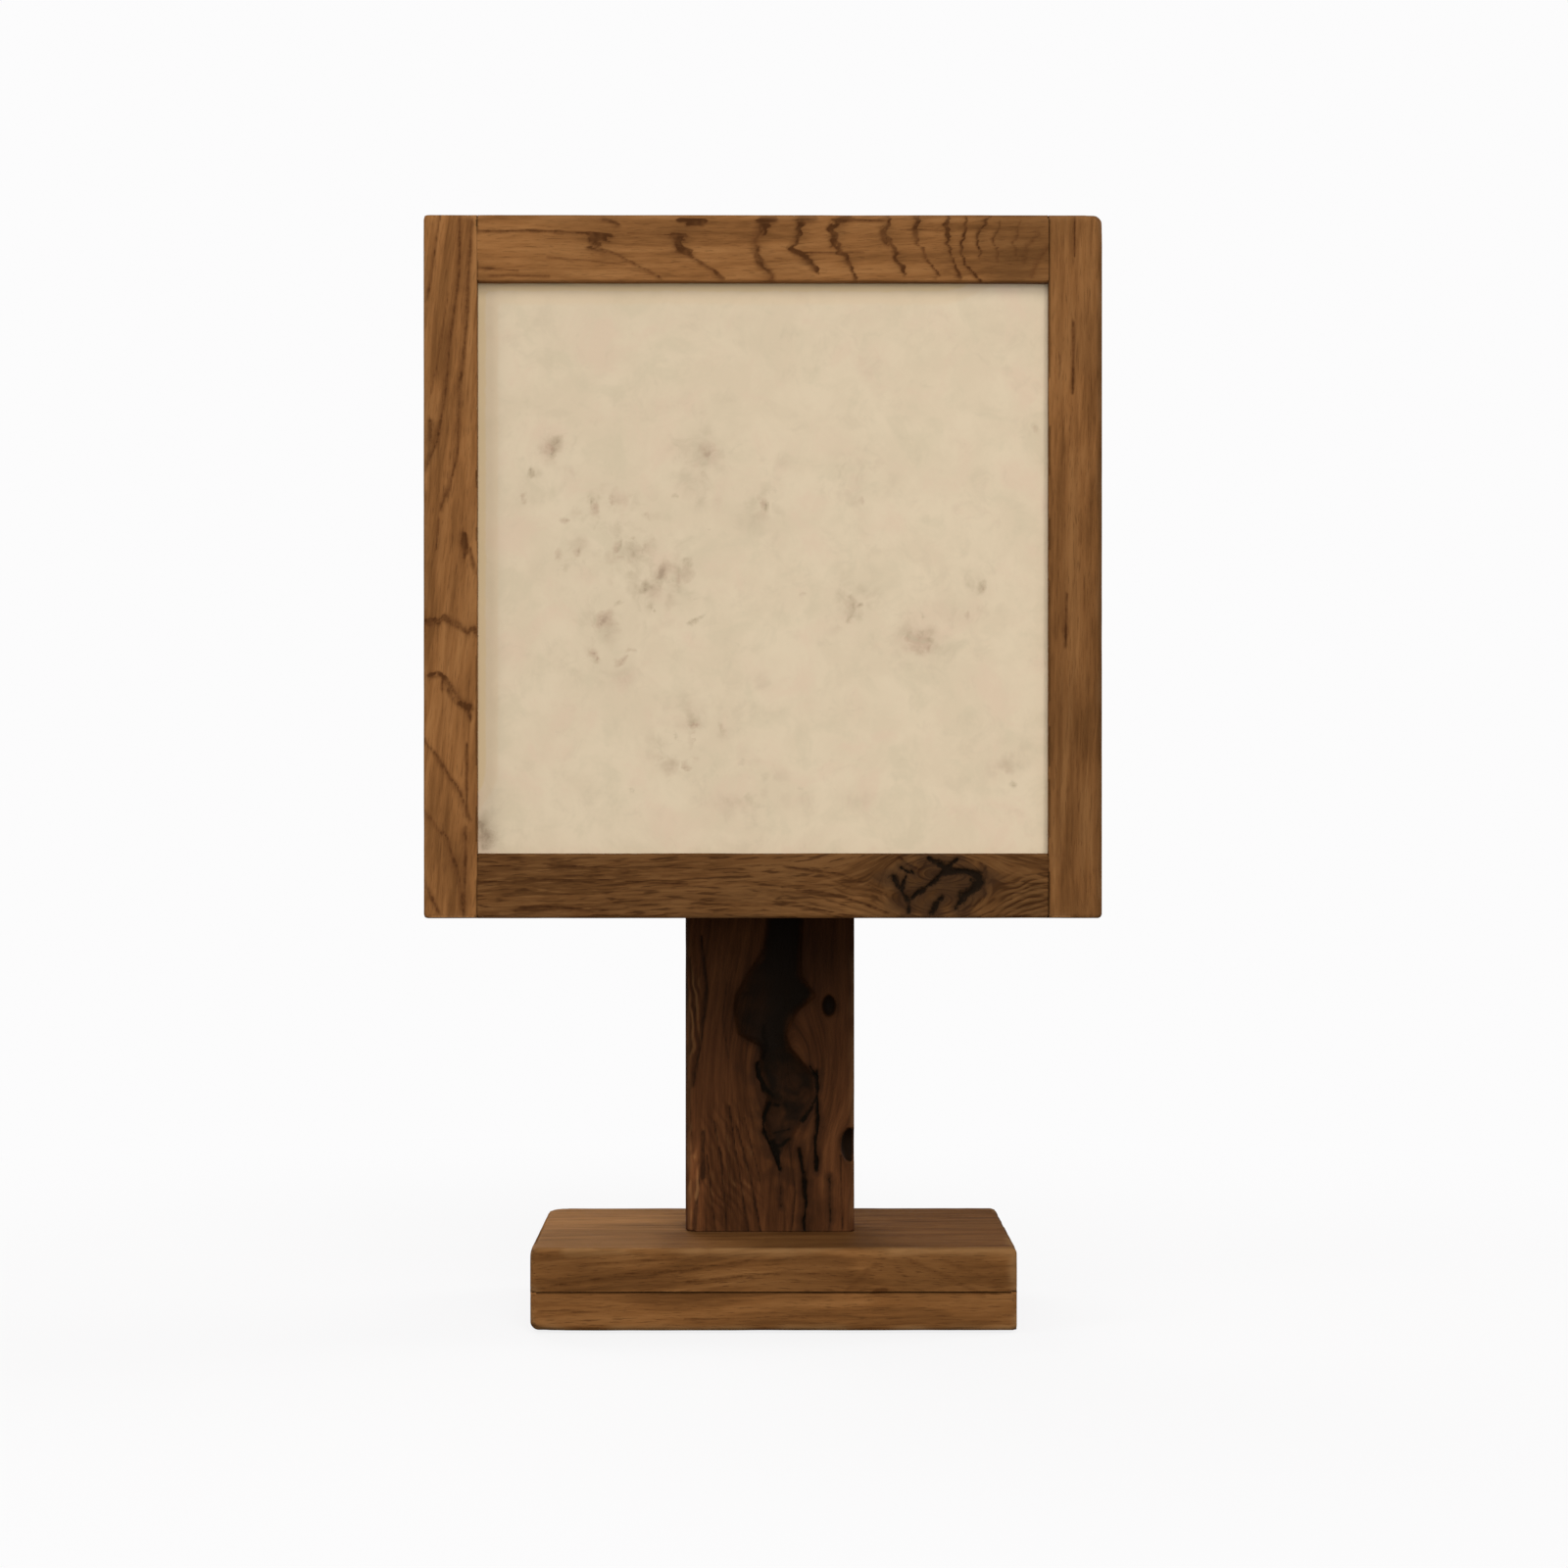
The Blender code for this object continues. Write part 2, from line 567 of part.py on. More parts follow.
def make_post(finishes, post_screws, carrier_screws):
    """A plank on end with a through tenon at both ends and a channel for the lead."""
    section = rectangle(POST_WIDTH, POST_THICKNESS, POST_SHIFT)
    shape = bmesh.new()
    add_prism(shape, rounded(section, [POST_WANE] + [ARRIS] * 3), "Z", POST_BOTTOM, POST_TOP)
    made = put("post", shape, finishes["post"])
    tenons = bmesh.new()
    outline = rectangle(POST_TENON_WIDTH, POST_TENON_THICKNESS, POST_SHIFT)
    add_prism(tenons, outline, "Z", UPPER_PLANK_BOTTOM, CARRIER_TOP)
    carve(made, tool("post_tenons", tenons), "UNION")

    holes = bmesh.new()
    add_screws(holes, POST_SCREW_LENGTH, post_screws, GAP)
    add_screws(holes, CARRIER_SCREW_LENGTH, carrier_screws, GAP)
    seat = CARRIER_TOP - ROD_DEPTH - GAP
    profile = [(0, CARRIER_TOP + CUT_PAST), (ROD_HOLE / 2, CARRIER_TOP + CUT_PAST), (ROD_HOLE / 2, seat),
               (CHANNEL_DIAMETER / 2, seat), (CHANNEL_DIAMETER / 2, UPPER_PLANK_BOTTOM - CUT_PAST),
               (0, UPPER_PLANK_BOTTOM - CUT_PAST)]
    add_turned(holes, profile, SMALL_TURN_STEPS, matrix=Matrix.Translation((POST_SHIFT, 0, 0)))
    carve(made, tool("post_holes", holes))
    carve(made, tool("post_hollow", hollow_shape()))
    for name, (up, across, half_width, half_height, depth) in POST_PITS.items():
        pit = bmesh.new()
        bmesh.ops.create_uvsphere(pit, u_segments=PIT_SIDES, v_segments=PIT_RINGS, radius=1)
        bmesh.ops.transform(pit, matrix=LIE_BACKWARDS, verts=pit.verts)
        bmesh.ops.scale(pit, vec=(half_width, depth, half_height), verts=pit.verts)
        place = (POST_SHIFT + across * POST_WIDTH, -POST_THICKNESS / 2, POST_BOTTOM + up * POST_HEIGHT)
        carve(made, tool("pit_" + name, pit, location=place))


def hollow_shape():
    """The natural hollow as a loft of half ellipses, run out in front of the post's face."""
    shape = bmesh.new()
    front = -POST_THICKNESS / 2
    loops = []
    for up, across, half_width in POST_HOLLOW:
        x, z = POST_SHIFT + across * POST_WIDTH, POST_BOTTOM + up * POST_HEIGHT
        depth = HOLLOW_DEPTH * half_width / (half_width + HOLLOW_DEPTH)
        ring = [(x + half_width, front - CUT_PAST, z)]
        for step in range(HOLLOW_STEPS + 1):
            turn = math.pi * step / HOLLOW_STEPS
            ring.append((x + half_width * math.cos(turn), front + depth * math.sin(turn), z))
        ring.append((x - half_width, front - CUT_PAST, z))
        loops.append([shape.verts.new(point) for point in ring])
    for lower, upper in zip(loops, loops[1:]):
        for i in range(len(lower)):
            shape.faces.new((lower[i - 1], lower[i], upper[i], upper[i - 1]))
    shape.faces.new(loops[0])
    shape.faces.new(loops[-1])
    return shape


def make_carrier(finishes, carrier_screws):
    """A board from the front to the back rail, tongued into both, with a mortise for the post."""
    half = LANTERN_DEPTH / 2 - RAIL_THICKNESS - GAP
    tip = half + TONGUE_LENGTH
    low = LANTERN_BOTTOM + (CARRIER_THICKNESS - TONGUE_THICKNESS) / 2
    high = low + TONGUE_THICKNESS
    back = [(half, LANTERN_BOTTOM), (half, low), (tip, low), (tip, high), (half, high), (half, CARRIER_TOP)]
    section = back + [(-y, z) for y, z in reversed(back)]
    shape = bmesh.new()
    add_prism(shape, section, "X", POST_SHIFT - CARRIER_WIDTH / 2, POST_SHIFT + CARRIER_WIDTH / 2)
    made = put("carrier", shape, finishes["bead"])
    holes = bmesh.new()
    mortise = rectangle(POST_TENON_WIDTH + 2 * GAP, POST_TENON_THICKNESS + 2 * GAP, POST_SHIFT)
    add_prism(holes, mortise, "Z", LANTERN_BOTTOM - CUT_PAST, CARRIER_TOP + CUT_PAST)
    add_screws(holes, CARRIER_SCREW_LENGTH, carrier_screws, GAP)
    carve(made, tool("carrier_holes", holes))


def make_gland(finishes):
    bore, barrel = GLAND_BORE / 2, GLAND_DIAMETER / 2
    flange = barrel + GLAND_FLANGE
    seat = -GLAND_FLANGE_THICKNESS
    ease = GLAND_FLANGE_THICKNESS / 3
    profile = [(bore + ease, 0), (flange - ease, 0), (flange, -ease), (flange, seat), (barrel, seat),
               (barrel, -GLAND_LENGTH), (bore, -GLAND_LENGTH), (bore, -ease)]
    shape = bmesh.new()
    add_turned(shape, profile, TURN_STEPS, closed=True, matrix=LIE_BACKWARDS)
    place = (POST_SHIFT, BASE_DEPTH / 2, LEAD_HEIGHT)
    put("cable_gland", shape, finishes["brass"], location=place, smooth=True)


def make_lead(finishes):
    """The lead inside the lamp: along the groove, round the bend and up the post to the lampholder."""
    bend = [(LEAD_BEND * (1 - math.sin(turn)), LEAD_BEND * (1 - math.cos(turn)))
            for turn in (math.radians(15 * step) for step in range(7))]
    top = HOLDER_BOTTOM + HOLDER_BOSS_HEIGHT + LEAD_TAIL
    spacing = 3 * LEAD_DIAMETER
    runs = math.ceil((GLAND_END - GAP - LEAD_BEND) / spacing)
    rises = math.ceil((top - UPPER_PLANK_BOTTOM) / spacing)
    route = [(GLAND_END - GAP + (LEAD_BEND - GLAND_END + GAP) * step / runs, 0) for step in range(runs)]
    route += bend
    route += [(0, LEAD_BEND + (top - UPPER_PLANK_BOTTOM) * step / rises) for step in range(1, rises + 1)]
    curve = bpy.data.curves.new("inner_lead", "CURVE")
    curve.dimensions = "3D"
    curve.bevel_depth = LEAD_DIAMETER / 2
    curve.bevel_resolution = 2
    curve.use_fill_caps = True
    line = curve.splines.new("POLY")
    line.points.add(len(route) - 1)
    for point, (y, z) in zip(line.points, route):
        point.co = (POST_SHIFT, y, LEAD_HEIGHT + z, 1)
    curve.materials.append(finishes["lead"])
    bpy.context.collection.objects.link(bpy.data.objects.new("inner_lead", curve))


def make_rod(finishes, axis):
    bore, outer = ROD_BORE / 2, ROD_DIAMETER / 2
    low, high = CARRIER_TOP - ROD_DEPTH, HOLDER_BOTTOM + ROD_GRIP
    shape = bmesh.new()
    add_turned(shape, box_outline((bore, outer), (low, high)), SMALL_TURN_STEPS, closed=True)
    put("lamp_rod", shape, finishes["brass"], axis, smooth=True)

    radius = (ROD_DIAMETER / 2 + NUT_WALL) / math.cos(math.pi / 6)
    hexagon = [(radius * math.cos(math.tau * i / 6), radius * math.sin(math.tau * i / 6)) for i in range(6)]
    shape = bmesh.new()
    add_prism(shape, hexagon, "Z", CARRIER_TOP + GAP, CARRIER_TOP + GAP + NUT_THICKNESS)
    nut = put("rod_nut", shape, finishes["brass"], axis)
    hole = bmesh.new()
    add_cylinder(hole, ROD_HOLE, CARRIER_TOP - CUT_PAST, CARRIER_TOP + NUT_THICKNESS + CUT_PAST)
    carve(nut, tool("rod_nut_hole", hole, axis))


def make_lampholder(finishes, axis):
    outer, seat, hole = HOLDER_DIAMETER / 2, INSULATOR_SEAT / 2, ROD_HOLE / 2
    boss = hole + HOLDER_BOSS_WALL
    shelf = HOLDER_BOTTOM + HOLDER_BOSS_HEIGHT
    ledge = HOLDER_CAP_TOP - INSULATOR_THICKNESS - GAP
    dome = [(boss + (outer - boss) * math.sin(turn), shelf + (outer - boss) * (1 - math.cos(turn)) / 2)
            for turn in (math.radians(15 * step) for step in range(7))]
    profile = [(hole, HOLDER_BOTTOM), (boss, HOLDER_BOTTOM)] + dome
    profile += [(outer, HOLDER_CAP_TOP), (seat, HOLDER_CAP_TOP), (seat, ledge)]
    inside, floor = seat - HOLDER_LEDGE, shelf + HOLDER_CAP_WALL
    profile += [(inside, ledge), (inside, dome[-1][1] + HOLDER_CAP_WALL), (boss, floor), (hole, floor)]
    shape = bmesh.new()
    add_turned(shape, profile, TURN_STEPS, closed=True)
    put("lampholder_cap", shape, finishes["holder"], axis, smooth=True)

    shape = bmesh.new()
    add_cylinder(shape, INSULATOR_SEAT - 2 * GAP, HOLDER_CAP_TOP - INSULATOR_THICKNESS, HOLDER_CAP_TOP)
    put("lampholder_insulator", shape, finishes["ceramic"], axis, smooth=True)

    bore = HOLDER_BORE / 2
    low, high = HOLDER_BODY_BOTTOM, HOLDER_BODY_BOTTOM + HOLDER_BODY_HEIGHT
    collar = outer + HOLDER_COLLAR
    collar_top = high - HOLDER_COLLAR_DROP
    collar_low = collar_top - HOLDER_COLLAR_HEIGHT
    profile = [(bore, high), (outer, high), (outer, collar_top), (collar, collar_top), (collar, collar_low),
               (outer, collar_low), (outer, low), (bore, low)]
    shape = bmesh.new()
    add_turned(shape, profile, TURN_STEPS, closed=True)
    put("lampholder_body", shape, finishes["holder"], axis, smooth=True)

    inner = outer + GAP
    rim = inner + RING_WALL
    low = collar_top + GAP
    high = low + RING_HEIGHT
    shape = bmesh.new()
    add_turned(shape, box_outline((inner, rim), (low, high)), TURN_STEPS, closed=True)
    put("lampholder_ring", shape, finishes["holder"], axis, smooth=True)

    rise = CONTACT_RISE - CONTACT_STRIP
    heel, kink = -rise - CONTACT_FLAT, CONTACT_STRIP / 2
    under = [(heel, 0), (-rise, 0), (0, rise), (CONTACT_FLAT, rise)]
    over = [(CONTACT_FLAT, CONTACT_RISE), (-kink, CONTACT_RISE), (-rise - kink, CONTACT_STRIP)]
    outline = under + over + [(heel, CONTACT_STRIP)]
    shape = bmesh.new()
    add_prism(shape, outline, "Y", -CONTACT_WIDTH / 2, CONTACT_WIDTH / 2)
    put("lampholder_contact", shape, finishes["brass"], axis, (0, 0, CONTACT_BOTTOM))


def bulb_outline(neck, globe, bottom):
    """The line of the glass from the bottom of its neck to the top of its globe."""
    middle = BULB_LENGTH - BULB_DIAMETER / 2
    join = math.radians(BULB_FLARE_ANGLE)
    start = Vector((neck, BULB_CAP_LENGTH + BULB_NECK_STRAIGHT))
    end = Vector((globe * math.cos(join), middle - globe * math.sin(join)))
    pull = (end - start).length / 2
    handles = start + Vector((0, pull)), end - Vector((math.sin(join), math.cos(join))) * pull
    line = [(neck, bottom)]
    line += [(point.x, point.y) for point in interpolate_bezier(start, *handles, end, 8)]
    for step in range(1, 9):
        angle = -join + (math.pi / 2 + join) * step / 8
        line.append((globe * math.cos(angle) if step < 8 else 0, middle + globe * math.sin(angle)))
    return line


def make_bulb(finishes, seat):
    neck, globe = BULB_NECK_DIAMETER / 2, BULB_DIAMETER / 2
    bottom = BULB_CAP_LENGTH - BULB_NECK_GRIP
    outside = bulb_outline(neck, globe, bottom)
    inside = bulb_outline(neck - BULB_GLASS, globe - BULB_GLASS, bottom)
    shape = bmesh.new()
    add_turned(shape, outside[::-1] + inside, TURN_STEPS)
    put("bulb_glass", shape, finishes["glass"], seat, smooth=True)

    radius, button, cup = BULB_CAP_DIAMETER / 2, BULB_BUTTON_DIAMETER / 2, neck + GAP
    floor = BULB_INSULATOR_LENGTH + BULB_CAP_WALL
    profile = [(0, floor), (cup, floor), (cup, BULB_CAP_LENGTH), (radius, BULB_CAP_LENGTH),
               (radius, BULB_INSULATOR_LENGTH), (button, BULB_BUTTON_HEIGHT), (button, 0), (0, 0)]
    shape = bmesh.new()
    add_turned(shape, profile, TURN_STEPS)
    put("bulb_cap", shape, finishes["nickel"], seat, smooth=True)


def main():
    clear_scene()
    finishes = {
        "frame": material("elm_frame", (0.235, 0.108, 0.040), 0.55),
        "post": material("elm_post", (0.085, 0.036, 0.014), 0.6),
        "base": material("elm_base", (0.180, 0.080, 0.030), 0.55),
        "bead": material("elm_bead", (0.260, 0.130, 0.055), 0.6),
        "parchment": material("parchment", (0.660, 0.530, 0.370), 0.6),
        "brass": material("brass", (0.560, 0.400, 0.160), 0.35, 1.0),
        "steel": material("screw_steel", (0.420, 0.400, 0.370), 0.4, 1.0),
        "felt": material("felt", (0.020, 0.018, 0.016), 0.95),
        "holder": material("holder_black", (0.018, 0.016, 0.015), 0.3),
        "ceramic": material("insulator_ceramic", (0.780, 0.760, 0.700), 0.4),
        "glass": material("bulb_opal", (0.860, 0.840, 0.790), 0.25),
        "nickel": material("bulb_nickel", (0.620, 0.600, 0.560), 0.3, 1.0),
        "lead": material("lead_sheath", (0.030, 0.028, 0.026), 0.5),
    }
    lantern = empty("lantern", (0, 0, LANTERN_BOTTOM))
    for face_name in FACES:
        make_face(face_name, lantern, finishes)
    for face, depth_name in ((-1, "front"), (1, "back")):
        for side, side_name in ((-1, "left"), (1, "right")):
            name = f"corner_post_{depth_name}_{side_name}"
            make_corner_post(name, side, face, finishes["frame"], lantern)

    head = LOWER_PLANK_BOTTOM + SCREW_SINK
    base_screws = base_corners(BASE_SCREW_INSET, BASE_SCREW_EDGE, head)
    post_screws = []
    carrier_screws = []
    for side in (-1, 1):
        place = (POST_SHIFT + side * POST_SCREW_SPACING / 2, 0, head)
        post_screws.append(Matrix.Translation(place))
        place = (POST_SHIFT + side * CARRIER_SCREW_REACH, 0, CARRIER_TOP - SCREW_SINK)
        carrier_screws.append(Matrix.Translation(place) @ TURN_OVER)
    make_screws("base_screw", BASE_SCREW_LENGTH, base_screws, finishes["steel"])
    make_screws("post_screw", POST_SCREW_LENGTH, post_screws, finishes["steel"])
    make_screws("carrier_screw", CARRIER_SCREW_LENGTH, carrier_screws, finishes["steel"])

    make_base(finishes, base_screws, post_screws)
    make_post(finishes, post_screws, carrier_screws)
    make_carrier(finishes, carrier_screws)
    make_gland(finishes)
    make_lead(finishes)

    axis = empty("lamp_axis", (POST_SHIFT, 0, 0))
    make_rod(finishes, axis)
    make_lampholder(finishes, axis)
    make_bulb(finishes, empty("bulb_seat", (POST_SHIFT, 0, BULB_BOTTOM)))


main()
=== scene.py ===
import math

import bmesh
import bpy
import numpy as np
from mathutils import Matrix, Vector


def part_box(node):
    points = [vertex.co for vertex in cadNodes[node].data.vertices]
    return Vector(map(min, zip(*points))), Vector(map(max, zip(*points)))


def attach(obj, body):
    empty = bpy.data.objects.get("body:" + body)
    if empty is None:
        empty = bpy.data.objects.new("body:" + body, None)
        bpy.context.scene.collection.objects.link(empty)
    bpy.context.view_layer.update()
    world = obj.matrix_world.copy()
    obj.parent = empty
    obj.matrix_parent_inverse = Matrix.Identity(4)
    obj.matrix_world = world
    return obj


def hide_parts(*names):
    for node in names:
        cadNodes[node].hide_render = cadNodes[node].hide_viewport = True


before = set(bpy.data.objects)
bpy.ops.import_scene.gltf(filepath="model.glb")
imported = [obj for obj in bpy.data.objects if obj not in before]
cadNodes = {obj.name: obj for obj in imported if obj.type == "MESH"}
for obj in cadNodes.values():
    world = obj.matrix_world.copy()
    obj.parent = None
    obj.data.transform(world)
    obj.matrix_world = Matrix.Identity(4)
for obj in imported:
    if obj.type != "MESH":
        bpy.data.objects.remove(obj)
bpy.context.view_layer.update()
scene = bpy.context.scene
scene.view_settings.view_transform = "Standard"
print("frame loaded:", len(cadNodes), "nodes")

# camera

cameraValues = {
    "place": (-0.0009, -2.375, 0.3176),
    "pitch": -0.0036,    # radians, looking slightly down
    "yaw": -0.0056,      # and slightly to the right
    "lens": 92.59,
    "sensor": 36.0,
    "clip": (0.05, 60),
    "photo": 1600,       # pixels across the photo
}
pixel = 0.00055  # metres that a pixel of the photo covers on the lantern's front


def makeCamera():
    data = bpy.data.cameras.new("camera")
    data.lens = cameraValues["lens"]
    data.sensor_width = cameraValues["sensor"]
    data.clip_start, data.clip_end = cameraValues["clip"]
    made = bpy.data.objects.new("camera", data)
    made.location = cameraValues["place"]
    made.rotation_euler = (math.pi / 2 + cameraValues["pitch"], 0, cameraValues["yaw"])
    scene.collection.objects.link(made)
    scene.camera = made


def onFace(points, depth):
    # where marks read off the photo, in its pixels, lie on the upright face at y = depth
    x, y, z = cameraValues["place"]
    half = cameraValues["photo"] / 2
    focal = cameraValues["lens"] / cameraValues["sensor"] * cameraValues["photo"]
    reach = depth - y
    points = np.asarray(points, float)
    across = x + reach * (-cameraValues["yaw"] + (points[:, 0] - half) / focal)
    up = z + reach * (cameraValues["pitch"] + (half - points[:, 1]) / focal)
    return np.stack([across, up], axis=1)


# node helpers: they add to the tree that was opened last

tree = None


def openTree(owner):
    global tree
    owner.use_nodes = True
    tree = owner.node_tree
    tree.nodes.clear()


def setSocket(socket, value):
    if isinstance(value, bpy.types.NodeSocket):
        tree.links.new(value, socket)
    else:
        socket.default_value = value


def addNode(kind, sockets=None, **settings):
    made = tree.nodes.new("ShaderNode" + kind)
    for key, value in settings.items():
        setattr(made, key, value)
    for key, value in (sockets or {}).items():
        setSocket(made.inputs[key], value)
    return made


def newMaterial(name):
    made = bpy.data.materials.new(name)
    openTree(made)
    return made


def shadeWith(sockets):
    shader = addNode("BsdfPrincipled", sockets)
    addNode("OutputMaterial", {"Surface": shader.outputs[0]})


def calc(operation, *values, clamp=False):
    sockets = dict(enumerate(values))
    return addNode("Math", sockets, operation=operation, use_clamp=clamp).outputs[0]


def times(value, factor):
    return calc("MULTIPLY", value, factor)


def timesPlus(value, factor, more):
    return calc("MULTIPLY_ADD", value, factor, more)


def strayed(value, noise, share):
    # the value, moved to and fro by a noise about its middle
    return timesPlus(calc("SUBTRACT", noise, 0.5), share, value)


def spread(value, low, high, first=0.0, last=1.0):
    sockets = {"Value": value, "From Min": low, "From Max": high, "To Min": first, "To Max": last}
    return addNode("MapRange", sockets, interpolation_type="SMOOTHSTEP").outputs[0]


def tint(share, under, over):
    made = addNode("Mix", {0: share}, data_type="RGBA", blend_type="MIX", clamp_factor=True)
    for key, colour in ((6, under), (7, over)):
        setSocket(made.inputs[key], (*colour, 1) if isinstance(colour, tuple) else colour)
    return made.outputs[2]


def layered(colour, layers):
    # each layer: where it lies, how strong it is, its colour
    for share, strength, over in layers:
        colour = tint(share if strength == 1 else times(share, strength), colour, over)
    return colour


def toned(colour):
    return addNode("VectorMath", {0: colour, "Scale": pointValue("tone")}, operation="SCALE").outputs[0]


def ramp(value, stops):
    made = addNode("ValToRGB", {"Fac": value})
    row = made.color_ramp.elements
    while len(row) < len(stops):
        row.new(0.5)
    for item, (place, colour) in zip(row, stops):
        item.position = place
        item.color = (*colour, 1)
    return made.outputs["Color"]


def stretched(vector, scale, place=(0, 0, 0)):
    return addNode("Mapping", {"Vector": vector, "Scale": scale, "Location": place}).outputs[0]


def grainNoise(vector, scale, detail=3.0, rough=0.55, warp=0.0):
    sockets = {"Vector": vector, "Scale": scale, "Detail": detail, "Roughness": rough, "Distortion": warp}
    return addNode("TexNoise", sockets).outputs["Fac"]


def pointValue(name):
    return addNode("Attribute", attribute_name=name).outputs["Fac"]


def objectPlace():
    return addNode("TexCoord").outputs["Object"]


def lengthOf(vector):
    return addNode("VectorMath", {0: vector}, operation="LENGTH").outputs["Value"]


def bumpOf(height, strength, distance):
    return addNode("Bump", {"Height": height, "Strength": strength, "Distance": distance}).outputs[0]


def pieceFrom(shape, name):
    mesh = bpy.data.meshes.new(name)
    shape.to_mesh(mesh)
    shape.free()
    made = bpy.data.objects.new(name, mesh)
    scene.collection.objects.link(made)
    return made


# floor, world and lamps

stageValues = {
    "white": (0.974, 0.971, 0.974),  # what the camera sees behind the lamp
    "ambient": 0.25,
    "floorPaint": (0.9, 0.9, 0.9),   # the floor as the camera sees it in the light
    "floorBounce": 0.18,             # how pale the floor is to the light itself
    "floorSize": 7.0,
    "floorDrop": 0.0002,             # metres under the pads
    "shadowShare": 0.14,             # how much of the shadow the camera sees on the floor
    "shadowReach": (0.35, 1.1),      # the shadow's share fades out between these distances
    "aim": (0, 0, 0.33),             # where all lamps point
}

lampValues = {
    "left": {"place": (-3.00, -2.40, 1.70), "size": 1.6, "power": 42, "colour": (1.0, 0.985, 0.96)},
    "main": {"place": (0.25, -2.90, 2.75), "size": 1.5, "power": 48, "colour": (1.0, 0.99, 0.975)},
    "front": {"place": (0.50, -3.60, 0.95), "size": 1.8, "power": 60, "colour": (1.0, 0.99, 0.98)},
    "right": {"place": (3.10, 1.30, 1.45), "size": 1.8, "power": 62, "colour": (1.0, 0.99, 0.975)},
    "back": {"place": (-1.30, 3.20, 1.70), "size": 1.8, "power": 66, "colour": (1.0, 0.99, 0.975)},
}


def seenDirectly():
    path = addNode("LightPath").outputs
    seen = calc("ADD", path["Is Camera Ray"], path["Is Glossy Ray"])
    return calc("ADD", seen, path["Is Transmission Ray"], clamp=True)


def mixInto(output, share, first, second):
    mixed = addNode("MixShader", {0: share, 1: first.outputs[0], 2: second.outputs[0]})
    addNode(output, {"Surface": mixed.outputs[0]})


def makeFloor():
    shape = bmesh.new()
    bmesh.ops.create_grid(shape, x_segments=8, y_segments=8, size=stageValues["floorSize"])
    bmesh.ops.translate(shape, vec=(0, 0, -stageValues["floorDrop"]), verts=shape.verts)
    floor = pieceFrom(shape, "floor")
    floor.data.materials.append(newMaterial("floor_paint"))
    seen = seenDirectly()
    colour = tint(seen, (stageValues["floorBounce"],) * 3, stageValues["floorPaint"])
    lit = addNode("BsdfDiffuse", {"Color": colour})
    glow = addNode("Emission", {"Color": (*stageValues["white"], 1), "Strength": 1.0})
    away = lengthOf(objectPlace())
    plain = spread(away, *stageValues["shadowReach"], 1 - stageValues["shadowShare"], 1.0)
    mixInto("OutputMaterial", times(seen, plain), lit, glow)


def makeWorld():
    scene.world = bpy.data.worlds.new("studio")
    openTree(scene.world)
    soft = addNode("Background", {"Color": (1, 1, 1, 1), "Strength": stageValues["ambient"]})
    plain = addNode("Background", {"Color": (*stageValues["white"], 1), "Strength": 1.0})
    mixInto("OutputWorld", seenDirectly(), soft, plain)


def makeLamp(name, values):
    data = bpy.data.lights.new(name, "AREA")
    data.shape = "SQUARE"
    data.size = values["size"]
    data.energy = values["power"]
    data.color = values["colour"]
    lamp = bpy.data.objects.new(name, data)
    lamp.location = values["place"]
    aim = Vector(stageValues["aim"]) - lamp.location
    lamp.rotation_euler = aim.to_track_quat("-Z", "Y").to_euler()
    scene.collection.objects.link(lamp)


makeCamera()
makeFloor()
makeWorld()
for name, values in lampValues.items():
    makeLamp(name, values)
print("stage set")

# numbers for the points of a mesh

farOff = 6.0  # half widths from a drawn mark: out of its reach
hashSteps = np.array([73856093, 19349663, 83492791])


def latticeNoise(places, seed):
    # smooth noise from -1 to 1 at places that are given in cells
    cell = np.floor(places).astype(np.int64)
    part = places - cell
    part = part * part * (3 - 2 * part)
    total = np.zeros(len(places))
    for corner in range(8):
        step = np.array([corner & 1, corner >> 1 & 1, corner >> 2])
        key = (cell + step) @ hashSteps + seed * 6971
        key = (key ^ (key >> 13)) * 1274126177 & 0x7FFFFFFF
        key = (key ^ (key >> 15)) * 668265263 & 0x7FFFFFFF
        weight = np.where(step == 1, part, 1 - part).prod(axis=1)
        total += weight * ((key >> 8 & 0xFFFF) / 32767.5 - 1)
    return total


def layeredNoise(places, size, seed, layers=3):
    total, share = np.zeros(len(places)), 1.0
    for layer in range(layers):
        total += share * latticeNoise(places / size, seed + 17 * layer)
        size, share = size / 2, share / 2
    return total


def smoothStep(value, low, high):
    part = np.clip((value - low) / (high - low), 0, 1)
    return part * part * (3 - 2 * part)


def bell(gap):
    return np.exp(-(gap ** 2).sum(axis=1))


def spotGap(places, spot, size, depth):
    # how far points are from a spot of the photo, in its half sizes, all of them in pixels
    return (places[:, [0, 2]] - onFace([spot], depth)[0]) / (np.array(size) * pixel)


def nearestLine(places, lines, depth, swell, lopsided=1.0):
    # distance from the drawn lines, in half widths: grows faster on one side, and a faint line adds to it
    nearest = np.full(len(places), farOff)
    for points, width, faint in lines:
        points = onFace(points, depth)
        for start, end in zip(points, points[1:]):
            run = end - start
            away = places - start
            share = np.clip(away @ run / (run @ run), 0, 1)
            gap = np.linalg.norm(away - share[:, None] * run, axis=1)
            side = run[0] * away[:, 1] - run[1] * away[:, 0]
            gap = np.where(side > 0, gap * lopsided, gap)
            nearest = np.minimum(nearest, gap / (width * pixel * swell) + faint)
    return nearest


def pointsOf(mesh):
    flat = np.empty(len(mesh.vertices) * 3, np.float32)
    mesh.vertices.foreach_get("co", flat)
    return flat.reshape(-1, 3).astype(float)


def normalsOf(mesh):
    flat = np.empty(len(mesh.vertices) * 3, np.float32)
    mesh.vertex_normals.foreach_get("vector", flat)
    return flat.reshape(-1, 3).astype(float)


